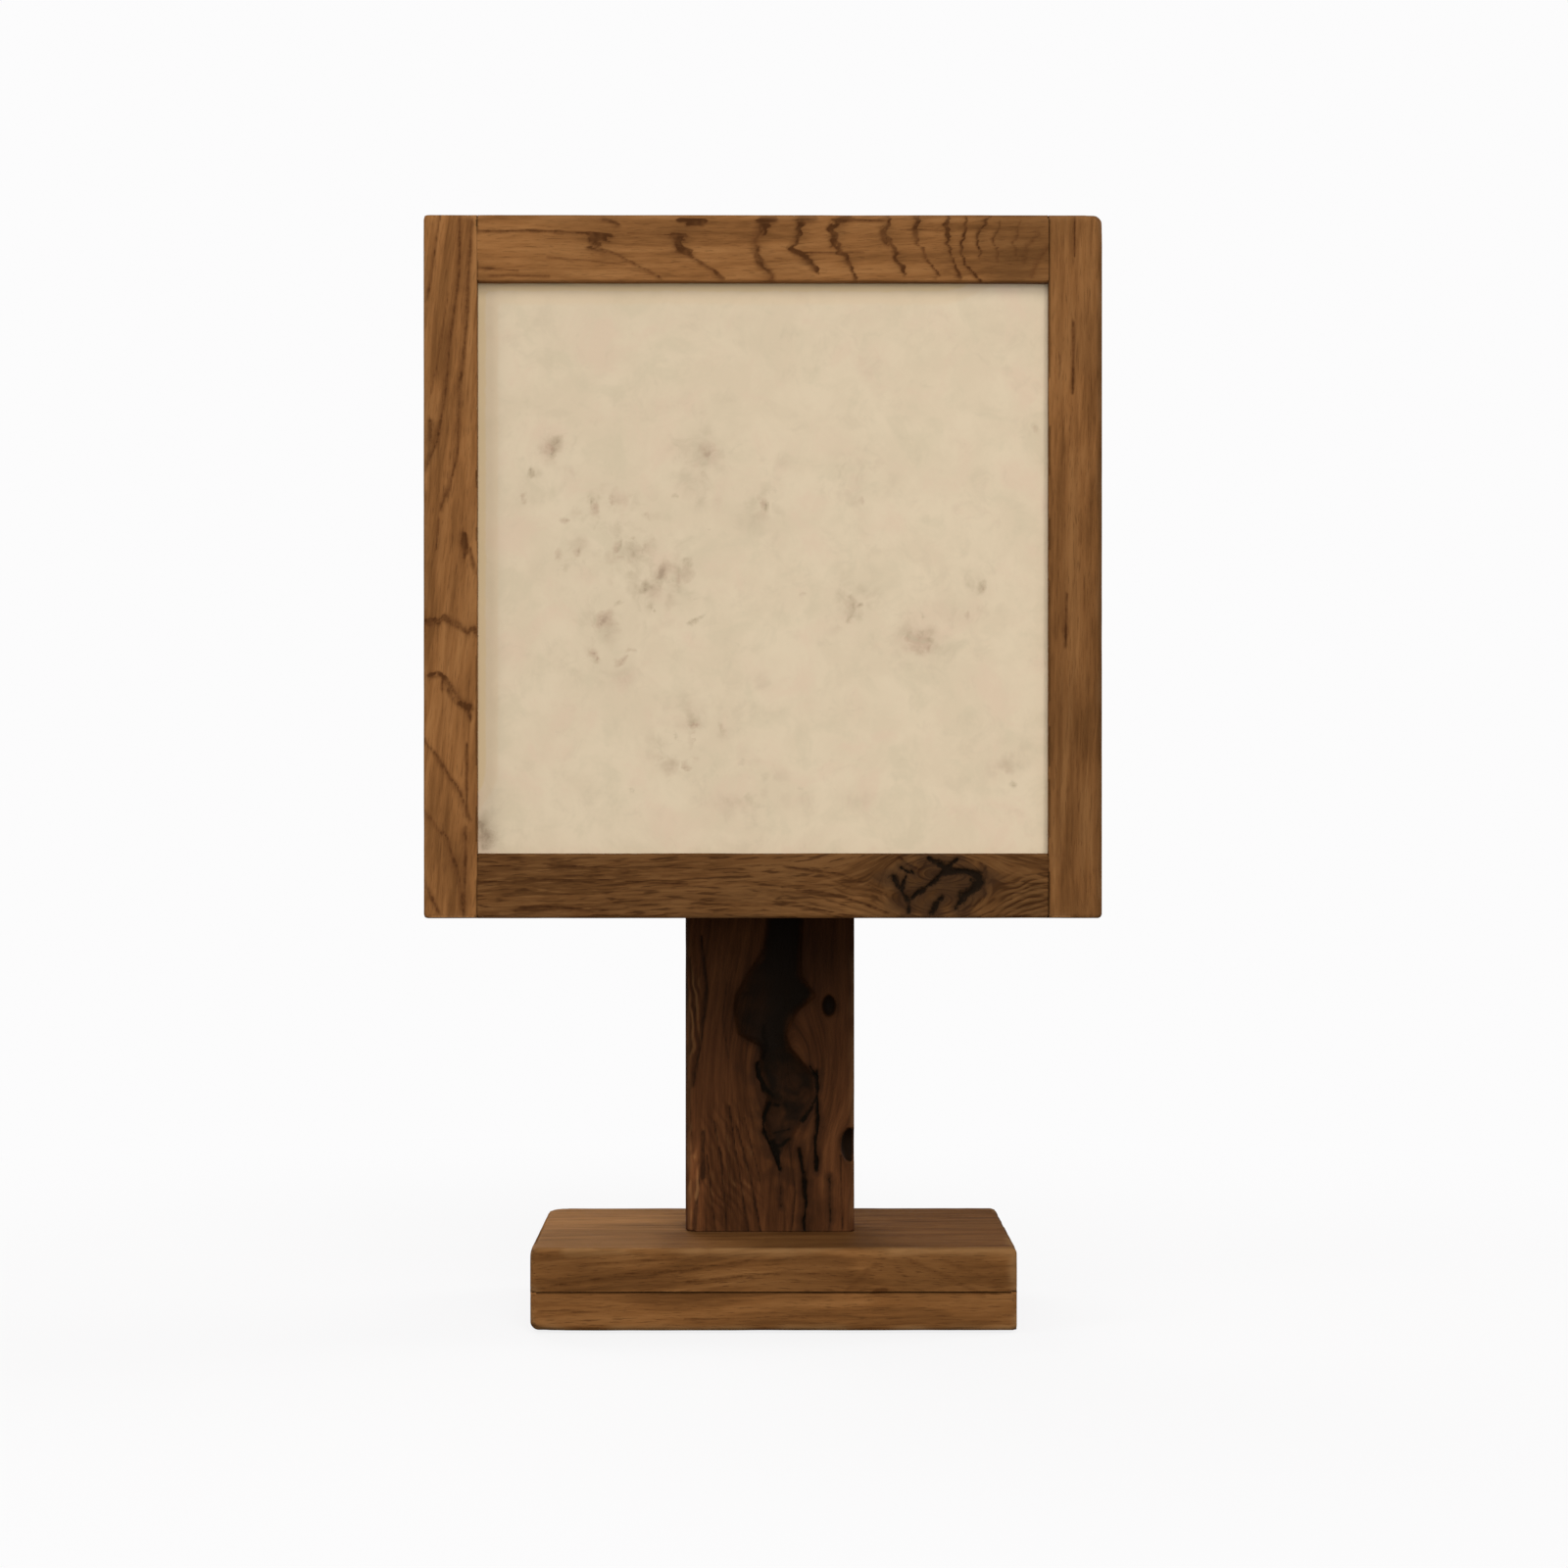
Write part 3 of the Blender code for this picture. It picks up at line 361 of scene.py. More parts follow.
def movePoints(mesh, places):
    mesh.vertices.foreach_set("co", places.astype(np.float32).ravel())
    mesh.update()


def writeValues(mesh, **given):
    for name, values in given.items():
        kind, key = ("FLOAT", "value") if values.ndim == 1 else ("FLOAT_VECTOR", "vector")
        made = mesh.attributes.new(name, kind, "POINT")
        made.data.foreach_set(key, values.astype(np.float32).ravel())


def pieceName(node):
    first, *rest = node.split("_")
    return first + "".join(word.capitalize() for word in rest or ["board"])


def standFor(made, node, body, material):
    made.data.materials.clear()
    made.data.materials.append(material)
    made.data.polygons.foreach_set("use_smooth", [True] * len(made.data.polygons))
    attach(made, body)
    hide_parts(node)


# wood: a board is an even, dense copy of its CAD solid, worn and marked, with the grain on its points


def woodMaterial(name, look):
    made = newMaterial(name)
    flow = addNode("Attribute", attribute_name="flow").outputs["Vector"]
    place = objectPlace()
    fibre = grainNoise(stretched(flow, look["fine"]), 1, 5, 0.62, 0.15)
    streak = grainNoise(stretched(flow, look["broad"]), 1, 3, 0.55, 0.3)
    vessels = grainNoise(stretched(flow, look["pore"]), 1, 2, 0.5)
    blotch = grainNoise(place, look["blotchScale"], 2, 0.5)

    # growth rings round the pith, which lies along the middle of the flow
    across = addNode("VectorMath", {0: flow, 1: (0, 1, 1)}, operation="MULTIPLY").outputs[0]
    count = timesPlus(lengthOf(across), 1 / look["ringSpacing"], times(streak, 0.9))
    phase = calc("FRACT", timesPlus(fibre, 0.22, count))
    late = calc("ADD", spread(phase, 0.62, 0.98), spread(phase, 0.16, 0.0), clamp=True)
    ring = times(times(late, look["ringShare"]), pointValue("rings"))

    # bands of figure, torn along the fibres, soft on one side, with a dark heart here and there
    tear = grainNoise(stretched(flow, look["tear"]), 1, 4, 0.65)
    chip = grainNoise(place, look["chipScale"], 4, 0.7)
    broken = grainNoise(place, look["brokenScale"], 2, 0.5)
    torn = strayed(strayed(pointValue("figure"), tear, look["tearShare"]), chip, look["nickShare"])
    heart = times(spread(torn, 1.35, 0.45), spread(broken, 0.36, 0.56, 0.25, look["figureShare"]))
    heart = calc("MAXIMUM", heart, times(spread(torn, -0.1, -0.9), 0.85))

    # raised grain: pale crests that stop short, and dark troughs
    ridged = pointValue("ridged")
    wave = calc("SINE", timesPlus(fibre, 2.2, times(pointValue("ridge"), math.tau)))
    stops = grainNoise(stretched(flow, look["stop"]), 1, 3, 0.6, 0.4)
    kept = spread(timesPlus(ridged, 0.5, stops), 0.68, 0.90)
    crest = times(times(spread(wave, 0.1, 0.95), ridged), kept)
    trough = times(spread(wave, 0.0, -0.9), ridged)

    # short dashes and pores along the fibres, and cracks
    dash = grainNoise(stretched(flow, look["dash"]), 1, 2, 0.5, 0.3)
    dashed = pointValue("dashed")
    pores = times(spread(vessels, 0.57, 0.70), look["poreShare"])
    split = strayed(pointValue("crack"), chip, look["chipShare"])
    gaping = spread(split, 1.2, 0.3)

    fine = times(spread(fibre, 0.30, 0.70), look["fibreShare"])
    mixed = timesPlus(spread(streak, 0.30, 0.70), 1 - look["fibreShare"], fine)
    colour = ramp(mixed, [(0.12, look["dark"]), (0.5, look["middle"]), (0.9, look["light"])])
    worn = times(pointValue("worn"), spread(fibre, 0.25, 0.6, 0.35, 1.0))
    colour = layered(colour, [
        (spread(blotch, 0.45, 0.72), look["blotchShare"], look["blotch"]),
        (ring, 1, look["late"]),
        (spread(torn, 2.7, 0.4), look["bandShare"], look["band"]),
        (heart, 1, look["figure"]),
        (trough, 0.85, look["late"]),
        (crest, 0.75, look["crest"]),
        (times(spread(dash, 0.46, 0.34), dashed), 0.85, look["late"]),
        (times(spread(dash, 0.54, 0.66), dashed), 0.7, look["light"]),
        (pores, 1, look["poreColour"]),
        (worn, look["wornShare"], look["worn"]),
    ])
    colour = layered(toned(colour), [
        (spread(split, 5.0, 0.8), look["besideShare"], look["beside"]),  # stained beside a crack
        # painted shade: the post's hollow and pits, tinted towards the dark hollow colour
        (pointValue("pit"), 1, look["hollow"]),
        (gaping, 1, look["split"]),
    ])
    rough = calc("MULTIPLY_ADD", gaping, 0.2, timesPlus(fibre, 0.25, look["rough"]), clamp=True)
    height = timesPlus(fibre, 0.8, times(streak, 0.5))
    height = timesPlus(pores, -0.8, height)
    height = timesPlus(calc("MAXIMUM", ring, heart), -0.5, height)
    height = timesPlus(times(wave, ridged), look["ridgeShare"], height)
    shadeWith({"Base Color": colour, "Roughness": rough, "Specular IOR Level": look["gloss"],
               "Normal": bumpOf(height, look["bump"], 0.0008)})
    return made


frameLook = {
    "dark": (0.150, 0.062, 0.0185), "middle": (0.232, 0.099, 0.0310), "light": (0.296, 0.136, 0.046),
    "late": (0.072, 0.026, 0.0075), "figure": (0.060, 0.0205, 0.0055), "band": (0.124, 0.048, 0.0146),
    "crest": (0.215, 0.105, 0.038), "beside": (0.036, 0.0175, 0.0085), "blotch": (0.165, 0.073, 0.0235),
    "poreColour": (0.078, 0.031, 0.010), "worn": (0.310, 0.152, 0.060), "hollow": (0.010, 0.005, 0.0025),
    "split": (0.0105, 0.0062, 0.0035), "fine": (28, 400, 400), "broad": (9, 88, 88),
    "pore": (95, 1500, 1500), "tear": (120, 460, 460), "stop": (60, 260, 260), "dash": (62, 620, 620),
    "ringSpacing": 0.0056, "ringShare": 0.55, "figureShare": 0.85, "bandShare": 0.85, "tearShare": 0.9,
    "poreShare": 0.40, "blotchShare": 0.50, "wornShare": 0.5, "rough": 0.50, "gloss": 0.02, "bump": 0.35,
    "chipShare": 2.2, "nickShare": 1.3, "fibreShare": 0.33, "ridgeShare": 0.7, "besideShare": 0.66,
    "blotchScale": 14, "chipScale": 430, "brokenScale": 130,
}
baseLook = dict(
    frameLook, dark=(0.122, 0.050, 0.0150), middle=(0.192, 0.080, 0.0240), light=(0.255, 0.114, 0.037),
    late=(0.080, 0.031, 0.0095), band=(0.108, 0.042, 0.0125), worn=(0.310, 0.163, 0.064), ringShare=0.40,
    poreShare=0.65, wornShare=0.75, gloss=0.003, bandShare=0.6, figureShare=0.6,
)
postLook = dict(
    frameLook, dark=(0.042, 0.0152, 0.0053), middle=(0.072, 0.0255, 0.0088),
    light=(0.106, 0.0390, 0.0134), late=(0.026, 0.0096, 0.0038), blotch=(0.060, 0.0210, 0.0078),
    worn=(0.190, 0.090, 0.036), ringShare=0.20, figure=(0.014, 0.0058, 0.0026),
    band=(0.030, 0.0112, 0.0042), crest=(0.150, 0.070, 0.026), beside=(0.020, 0.0085, 0.0040),
    # hollow: the dark colour of the painted shade in the post's hollow
    hollow=(0.0042, 0.0028, 0.0016), split=(0.0046, 0.0031, 0.0018), bump=0.45, broad=(9, 150, 150),
    chipShare=1.1, fibreShare=0.46,
)
beadLook = dict(
    frameLook, dark=(0.170, 0.078, 0.028), middle=(0.250, 0.122, 0.048), light=(0.320, 0.165, 0.070),
    late=(0.130, 0.056, 0.020),
)
woodLooks = {"elm_frame": frameLook, "elm_base": baseLook, "elm_post": postLook, "elm_bead": beadLook}
woods = {name: woodMaterial(name, look) for name, look in woodLooks.items()}

# marks of the wood on the faces that the photo shows: points in its pixels, half width in pixels, faintness

topRailLines = [
    ([(486, 236), (540, 235), (602, 238)], 1.8, 0.25), ([(560, 262), (640, 270)], 1.6, 0.9),
    ([(600, 247), (622, 256), (648, 269), (674, 284)], 2.2, 0.6), ([(616, 223), (630, 228)], 3.2, 0.2),
    ([(699, 256), (715, 267), (738, 284)], 2.6, 0.2), ([(640, 238), (686, 240)], 1.2, 0.6),
    ([(781, 223), (771, 245), (772, 262), (790, 283)], 4.4, 0.55),
    ([(821, 220), (815, 240), (810, 254), (819, 260), (836, 278)], 2.9, 0.1),
    ([(866, 221), (853, 229), (850, 242), (861, 259), (870, 270), (874, 285)], 2.7, 0.2),
    ([(907, 219), (904, 239), (914, 258), (923, 280)], 2.6, 0.05),
    ([(938, 219), (936, 239), (943, 258), (957, 282)], 2.1, 0.15),
    ([(967, 220), (968, 249), (980, 282)], 2.1, 0.05),
    ([(985, 223), (981, 250), (987, 270), (1001, 286)], 2.0, 0.0),
    ([(1010, 221), (998, 239), (1000, 262)], 1.8, 0.2),
    ([(1022, 226), (1015, 246), (1018, 266)], 1.9, 0.6),
    ([(1042, 226), (1034, 246), (1038, 264)], 3.0, 1.1),
    ([(1060, 238), (1050, 250), (1044, 268)], 4.0, 1.1),
    ([(1070, 252), (1058, 266), (1054, 282)], 4.0, 1.1), ([(488, 273), (528, 276)], 1.6, 0.5),
    ([(500, 281), (560, 282)], 1.6, 0.6), ([(850, 224), (900, 225)], 1.8, 0.35),
    ([(807, 258), (880, 257)], 1.4, 0.5), ([(905, 233), (960, 235)], 1.3, 0.5),
    ([(774, 224), (790, 223)], 2.0, -1.0), ([(778, 229), (784, 230)], 1.6, -0.8),
    ([(781, 233), (779, 240)], 1.6, -0.4), ([(818, 221), (829, 221)], 2.2, -0.6),
    ([(817, 226), (816, 240)], 2.4, -0.7), ([(602, 238), (624, 240)], 1.6, -0.8),
    ([(604, 243), (616, 242)], 2.2, -0.9), ([(608, 247), (613, 249)], 1.6, -0.7),
    ([(618, 245), (623, 246)], 1.2, -0.5), ([(685, 239), (699, 240)], 1.7, -0.9),
    ([(690, 243), (696, 244)], 1.5, -0.8), ([(691, 248), (694, 252)], 2.0, -0.9),
    ([(692, 253), (705, 257)], 2.2, -1.0), ([(694, 224), (718, 225)], 1.8, -0.9),
    ([(700, 228), (714, 228)], 1.8, -0.8), ([(772, 261), (776, 265)], 2.4, -0.9),
    ([(806, 254), (818, 258)], 1.9, -0.8), ([(831, 272), (836, 276)], 1.6, -0.5),
    ([(857, 258), (864, 261)], 1.7, -0.6), ([(921, 271), (923, 278)], 1.6, -0.4),
    ([(857, 224), (868, 222)], 2.0, -0.7), ([(849, 232), (851, 247)], 2.5, -0.8),
    ([(902, 236), (904, 246)], 2.8, -0.8), ([(936, 223), (937, 240)], 2.2, -0.6),
    ([(602, 252), (618, 257)], 3.0, 0.5), ([(966, 224), (968, 242)], 1.8, -0.6),
]
leftStileLines = [
    ([(450, 220), (443, 269), (436, 306)], 2.2, 0.6),
    ([(470, 220), (469, 281), (460, 351), (454, 410), (446, 452), (434, 480)], 4.3, 0.65),
    ([(482, 220), (477, 328), (470, 399), (467, 465), (460, 493), (450, 522)], 4.3, 0.65),
    ([(456, 500), (450, 520)], 5.0, 0.8), ([(458, 300), (450, 352), (441, 400)], 2.0, 0.8),
    ([(440, 430), (438, 470)], 4.0, 0.35), ([(475, 547), (476, 567)], 3.6, -0.3),
    ([(480, 560), (486, 585)], 2.4, 0.6), ([(448, 530), (446, 560)], 1.8, 0.4),
    ([(431, 634), (443, 632), (456, 630.5), (468, 637), (476, 641), (485, 642)], 5.0, 0.65),
    ([(485, 646), (474, 644), (466, 640), (456, 634.5), (443, 636.5), (431, 637)], 5.0, 0.65),
    ([(435, 632), (443, 630)], 2.0, -0.5), ([(451, 630), (456, 632)], 1.8, -0.4),
    ([(473, 641), (480, 644)], 1.4, -0.3),
    ([(431, 691), (440, 688), (450, 687), (457, 693), (468, 711), (482, 722)], 5.6, 0.95),
    ([(479, 726), (464, 714), (454, 697), (448, 690.5), (440, 691.5), (431, 694)], 5.6, 0.95),
    ([(437, 689), (444, 687)], 1.8, -0.4), ([(450, 688), (456, 692)], 2.4, -0.7),
    ([(471, 717), (480, 724)], 2.2, -0.5), ([(478, 724), (481, 736)], 2.2, 0.3),
    ([(452, 690), (452, 705)], 1.6, 0.3), ([(431, 752), (452, 780), (468, 805), (480, 834)], 4.0, 0.6),
    ([(431, 826), (457, 855), (469, 894), (474, 936)], 3.8, 0.6), ([(431, 892), (449, 934)], 3.6, 0.6),
    ([(477, 760), (477, 832)], 2.2, 0.35), ([(476, 845), (474, 936)], 3.2, 0.45),
]
rightStileLines = [
    ([(1096, 328), (1096, 365), (1095, 401)], 1.6, 0.1), ([(1097, 222), (1097, 262)], 1.4, 0.25),
    ([(1076, 350), (1084, 366), (1076, 380)], 1.8, 1.6), ([(1089, 605), (1088, 660)], 2.0, 0.25),
    ([(1074, 500), (1092, 488), (1112, 470)], 1.8, 2.0), ([(1112, 300), (1112, 420)], 1.4, 1.5),
    ([(1085, 420), (1084, 560)], 1.3, 1.6),
]
bottomRailLines = [
    ([(487, 884), (560, 882), (640, 886)], 1.5, 0.35), ([(487, 900), (600, 897), (700, 902)], 1.4, 0.45),
    ([(520, 931), (545, 924), (620, 929)], 2.6, 0.3), ([(800, 884), (860, 892), (905, 912)], 1.6, 0.4),
    ([(800, 905), (850, 912), (910, 932)], 1.6, 0.4), ([(760, 920), (830, 926), (880, 936)], 1.5, 0.4),
    ([(917, 874), (930, 884), (939, 887), (944, 880)], 1.6, 0.15),
    ([(1003, 880), (1010, 898), (1003, 915), (985, 930)], 2.4, 0.35),
]
baseLines = [
    ([(930, 1286), (962, 1300), (1004, 1320)], 4.4, 0.9),
    ([(960, 1284), (990, 1297), (1030, 1316)], 3.6, 1.0),
    ([(862, 1319), (880, 1301), (893, 1290)], 4.4, 1.0),
    ([(560, 1312), (640, 1300), (700, 1296), (770, 1285)], 2.4, 0.4),
    ([(600, 1290), (690, 1284)], 2.0, 0.5), ([(890, 1318), (905, 1316)], 4.0, 0.2),
    ([(700, 1308), (800, 1298), (868, 1302)], 2.2, 0.45), ([(548, 1338), (640, 1336)], 1.8, 0.5),
    ([(700, 1346), (860, 1342)], 1.8, 0.5),
]
postLines = [
    ([(716, 955), (722, 1010), (716, 1062), (707, 1110)], 2.2, 0.1),
    ([(704, 980), (711, 1020), (704, 1075)], 1.8, 0.2), ([(703, 1105), (706, 1160)], 1.6, 0.5),
    ([(718, 1156), (718, 1202)], 2.4, -0.2), ([(713, 1206), (709, 1256)], 1.9, -0.3),
    ([(744, 1130), (752, 1180), (764, 1256)], 1.8, 0.4),
    ([(752, 1150), (766, 1200), (776, 1256)], 1.8, 0.3),
    ([(729, 1145), (736, 1180), (742, 1256)], 1.8, 0.35),
    ([(760, 1142), (768, 1172), (776, 1205)], 1.6, 0.5), ([(722, 1180), (730, 1256)], 1.6, 0.4),
    ([(806, 1170), (812, 1215), (808, 1256)], 1.5, 0.3), ([(858, 1180), (860, 1256)], 1.4, 0.4),
    ([(742, 1000), (738, 1040), (744, 1080)], 1.6, 0.8),
]
bottomRailCracks = [
    ([(912, 896), (916, 905), (926, 917)], 4.2, 0.0), ([(926, 917), (944, 906), (961, 893)], 3.0, 0.0),
    ([(923, 893), (920, 907)], 3.6, 0.1), ([(947, 875), (957, 882), (966, 888)], 4.6, 0.0),
    ([(966, 888), (971, 882), (978, 876)], 2.8, 0.05), ([(961, 893), (968, 889), (994, 891)], 4.4, 0.0),
    ([(994, 891), (998, 900), (994, 908), (984, 914)], 5.6, 0.0), ([(984, 914), (976, 926)], 3.4, 0.2),
    ([(926, 917), (927, 932)], 2.6, 0.2), ([(960, 917), (950, 932)], 4.2, 0.2),
    ([(919, 886), (930, 891)], 2.6, 0.15), ([(930, 888), (934, 894)], 2.0, 0.3),
]
postCracks = [
    ([(834, 1092), (834, 1140), (832, 1195)], 1.9, 0.1),
    ([(815, 1172), (822, 1205), (821, 1256)], 2.4, 0.1), ([(796, 1196), (797, 1232)], 1.4, 0.5),
    ([(847, 1200), (847, 1256)], 1.5, 0.35),
    ([(773, 1086), (775, 1098), (781, 1109), (788, 1118)], 4.2, 0.0),
    ([(785, 1126), (779, 1140), (780, 1154), (787, 1166)], 3.4, 0.05),
    ([(787, 1166), (797, 1170), (806, 1162)], 3.2, 0.25),
    ([(827, 1088), (833, 1100), (833, 1116), (827, 1132), (817, 1143)], 2.8, 0.2),
    ([(789, 1166), (793, 1178), (796, 1194)], 4.4, 0.0), ([(791, 1128), (794, 1129)], 3.0, 0.1),
    ([(800, 1128), (803, 1131)], 2.6, 0.25), ([(789, 1157), (805, 1153)], 2.2, 0.35),
    ([(808, 1131), (814, 1135)], 2.4, 0.35), ([(779, 1047), (782, 1066), (778, 1080)], 3.6, 0.3),
]

# the box that a board is worn round, lowest and highest corner, where that isn't its own
wholeBoxes = {
    "lantern": ((-0.191, -0.105, 0.2338), (0.191, 0.105, 0.6298)),
    "base": ((-0.13125, -0.105, 0.0015), (0.14325, 0.105, 0.0480)),
}
frontFaces = {"lantern": -0.105, "base": -0.105, "post": -0.024}  # the y of the faces that carry marks
noFace = -0.3  # for the other boards: well before them all, so that no mark reaches them

# along: the grain's axis. pith: from the board's middle, across and into the depth
# knots: pixels, and their size. patches: pixels, half sizes, tone. clips: a corner, how much rounder it is
# ridges: pixels and half sizes of a raised patch, the centre that they run round, their spacing, strength
boardDefaults = {
    "voxel": 0.0016, "pith": (0.018, 0.045), "lean": (0.03, -0.02), "seed": 1, "tone": 1.0, "rings": 1.0,
    "lines": [], "cracks": [], "knots": [], "patches": [], "clips": [], "ridges": [],
    "wear": (0.0016, 0.0009),  # how round its edges are, and how much that changes
    "wornReach": 0.0042,       # how far from an edge the wood is rubbed pale
    "wander": 0.003,           # how far the grain strays
    "drawn": 1.0,              # share of the rings left on the face that carries marks
    "jag": 0.0016,             # how far fibres carry the figure along the grain
    "ragged": 0.0013,          # how far cracks stray from their lines
    "crackFade": 160,          # half widths that a crack loses for each metre behind the face
    "dashed": 0.15,
    "square": 0.004,           # edges of the solid longer than this stay true
    "squareReach": 0.75,       # and draw in points up to this share of a voxel off
    "grow": 0.00013,           # closes the joints
}
frameBoards = {
    "corner_post_front_left": {
        "along": "z", "voxel": 0.0010, "seed": 3, "pith": (0.030, 0.052), "lean": (0.09, 0.03),
        "lines": leftStileLines, "rings": 0.9, "drawn": 0.25, "tone": 1.06,
        "clips": [(-0.191, -0.105, 0.6298, 0.0012)],
        "patches": [
            (440, 455, 14, 40, 0.82), (455, 660, 30, 60, 0.97), (470, 900, 20, 60, 0.93),
            (428, 580, 2.5, 500, 0.72),
        ],
    },
    "corner_post_front_right": {
        "along": "z", "voxel": 0.0010, "seed": 8, "pith": (-0.040, 0.018), "lean": (0.02, 0.01),
        "lines": rightStileLines, "tone": 0.93, "rings": 0.8, "drawn": 0.35,
        "clips": [(0.191, -0.105, 0.6298, 0.0060), (0.191, -0.105, 0.2338, 0.0018)],
        # painted shade: the thin patch at (1123, 580) darkens the outer edge, which turns away from the
        # light
        "patches": [(1100, 800, 60, 200, 0.74), (1098, 245, 30, 40, 1.06), (1123, 580, 3, 500, 0.55)],
    },
    "corner_post_back_left": {"along": "z", "seed": 21, "pith": (0.020, -0.050), "lean": (-0.07, 0.02)},
    "corner_post_back_right": {"along": "z", "seed": 27, "pith": (-0.035, -0.030), "lean": (0.05, 0.06)},
    "rail_front_top": {
        "along": "x", "voxel": 0.0010, "seed": 34, "pith": (-0.012, 0.050), "lean": (0.02, 0.06),
        "lines": topRailLines, "drawn": 0.12,
        "patches": [
            (1038, 255, 46, 80, 0.72), (1020, 240, 10, 20, 1.05), (1058, 272, 10, 8, 1.1),
            (470, 250, 60, 40, 1.03), (820, 250, 90, 50, 1.04), (780, 231, 9, 13, 0.80),
            (816, 236, 9, 17, 0.76), (855, 236, 8, 14, 0.76), (905, 234, 7, 12, 0.80),
            (937, 230, 6, 14, 0.80), (968, 240, 6, 22, 0.82), (983, 246, 6, 20, 0.82),
            (1000, 238, 7, 12, 0.80), (1018, 240, 6, 12, 0.82), (824, 267, 13, 7, 0.84),
            (866, 262, 9, 10, 0.86), (918, 266, 7, 13, 0.86), (611, 246, 15, 8, 0.80),
            (695, 247, 10, 10, 0.80), (706, 226, 14, 5, 0.80), (779, 266, 8, 12, 0.88),
        ],
    },
    "rail_front_bottom": {
        "along": "x", "voxel": 0.0010, "seed": 41, "pith": (0.014, 0.050), "lean": (0.03, 0.02),
        "lines": bottomRailLines, "cracks": bottomRailCracks, "tone": 0.575, "drawn": 0.4, "dashed": 0.85,
        "knots": [(955, 905, 38)],
        "patches": [
            (955, 905, 50, 40, 0.50), (1045, 912, 34, 40, 0.86), (880, 918, 36, 20, 1.12),
            # painted shade: (800, 940) darkens a thin line along the rail's bottom edge
            (924, 905, 12, 14, 0.7), (991, 904, 14, 14, 0.65), (800, 940, 600, 2.5, 0.5),
        ],
        "ridges": [
            (1046, 914, 28, 22, 1078, 1004, 5.6, 1.0), (860, 915, 60, 22, 700, 1500, 6.5, 0.5),
            (660, 908, 185, 30, 600, 6000, 6.0, 0.22),
        ],
    },
    "rail_back_top": {"along": "x", "seed": 52, "pith": (0.020, -0.045), "lean": (0.05, 0.02)},
    "rail_back_bottom": {
        "along": "x", "seed": 57, "pith": (-0.025, -0.040), "lean": (-0.03, 0.04), "tone": 0.85,
    },
    "rail_left_top": {"along": "y", "seed": 63, "pith": (0.015, 0.045), "lean": (0.09, 0.02)},
    "rail_left_bottom": {
        "along": "y", "seed": 66, "pith": (-0.018, 0.040), "lean": (-0.06, 0.03), "tone": 0.9,
    },
    "rail_right_top": {"along": "y", "seed": 71, "pith": (0.022, -0.042), "lean": (-0.08, 0.02)},
    "rail_right_bottom": {
        "along": "y", "seed": 78, "pith": (-0.014, -0.048), "lean": (0.05, 0.04), "tone": 0.9,
    },
}
otherBoards = {
    "post": {
        "along": "z", "voxel": 0.0010, "seed": 83, "pith": (0.010, 0.060), "lean": (0.05, 0.04),
        "lines": postLines, "cracks": postCracks, "drawn": 0.15, "ragged": 0.0006, "dashed": 0.25,
        "knots": [(800, 1090, 34), (846, 1027, 8), (869, 1169, 11)],
        "patches": [
            # painted shade: the wide patch at (795, 1030) darkens the post's top, under the lantern
            (838, 972, 34, 48, 0.47), (734, 1030, 16, 40, 0.90), (750, 1000, 22, 50, 0.8),
            # painted light: the narrow patches at (709, 1215) and (706, 1020) lighten the post's left edge
            (709, 1215, 9, 56, 3.0), (735, 1180, 40, 90, 1.10), (795, 1030, 300, 120, 0.64),
            (706, 1020, 9, 60, 1.4), (852, 1205, 26, 80, 1.27), (835, 1062, 26, 24, 0.84),
        ],
        "ridges": [
            (707, 1035, 9, 60, 300, 1060, 7.5, 0.9), (706, 1200, 10, 70, 1800, 1500, 10.0, 0.55),
            (745, 1190, 34, 75, 1100, 1010, 9.0, 0.5),
        ],
        "square": 0.04, "tone": 0.9, "crackFade": 0, "wear": (0.0018, 0.0010), "wander": 0.0045,
    },
    "base_upper_plank": {
        "along": "x", "voxel": 0.0015, "seed": 91, "pith": (-0.016, 0.030), "lean": (0.04, 0.05),
        "lines": baseLines, "drawn": 0.5, "wear": (0.0026, 0.0019), "wornReach": 0.0062, "tone": 0.89,
        "clips": [(-0.131, -0.105, 0.048, 0.0058)], "patches": [(980, 1305, 70, 16, 0.9)],
        # the top's tones at its left and right ends are painted light, brighter at the left end
        "upTones": (1.34, 0.86), "grow": 0.00005,
    },
    "base_lower_plank": {
        "along": "x", "voxel": 0.0015, "seed": 97, "pith": (0.030, 0.012), "lean": (0.02, 0.01),
        "lines": baseLines, "drawn": 0.5, "wear": (0.0013, 0.0008), "tone": 1.03, "grow": 0.00005,
        # painted shadow: (795, 1357) darkens a thin line along the bottom edge, where the base meets the
        # floor
        "clips": [(-0.131, -0.105, 0.0015, 0.0062)], "patches": [(795, 1357, 600, 2.5, 0.45)],
    },
    "carrier": {
        "along": "y", "voxel": 0.0016, "seed": 103, "pith": (-0.030, 0.010), "wear": (0.0010, 0.0005),
    },
}
otherSlots = {"post": "elm_post", "carrier": "elm_bead"}  # the rest is the base's wood
beadBoard = {"voxel": 0.0013, "pith": (0.02, 0.03), "wear": (0.0008, 0.0003)}
alongAxes = {"x": (0, 2, 1), "y": (1, 2, 0), "z": (2, 0, 1)}  # along the grain, across it, into the depth
sharpAngle = 0.6  # radians between two faces, past which their edge is a true one


def mergedCopy(node):
    shape = bmesh.new()
    shape.from_mesh(cadNodes[node].data)
    bmesh.ops.remove_doubles(shape, verts=shape.verts, dist=1e-6)
    return shape


def denseCopy(node, voxel):
    made = pieceFrom(mergedCopy(node), pieceName(node))
    coarse = made.data
    even = made.modifiers.new("even", "REMESH")
    even.mode = "VOXEL"
    even.voxel_size = voxel
    graph = bpy.context.evaluated_depsgraph_get()
    dense = bpy.data.meshes.new_from_object(made.evaluated_get(graph))
    made.modifiers.clear()
    made.data = dense
    bpy.data.meshes.remove(coarse)
    return made


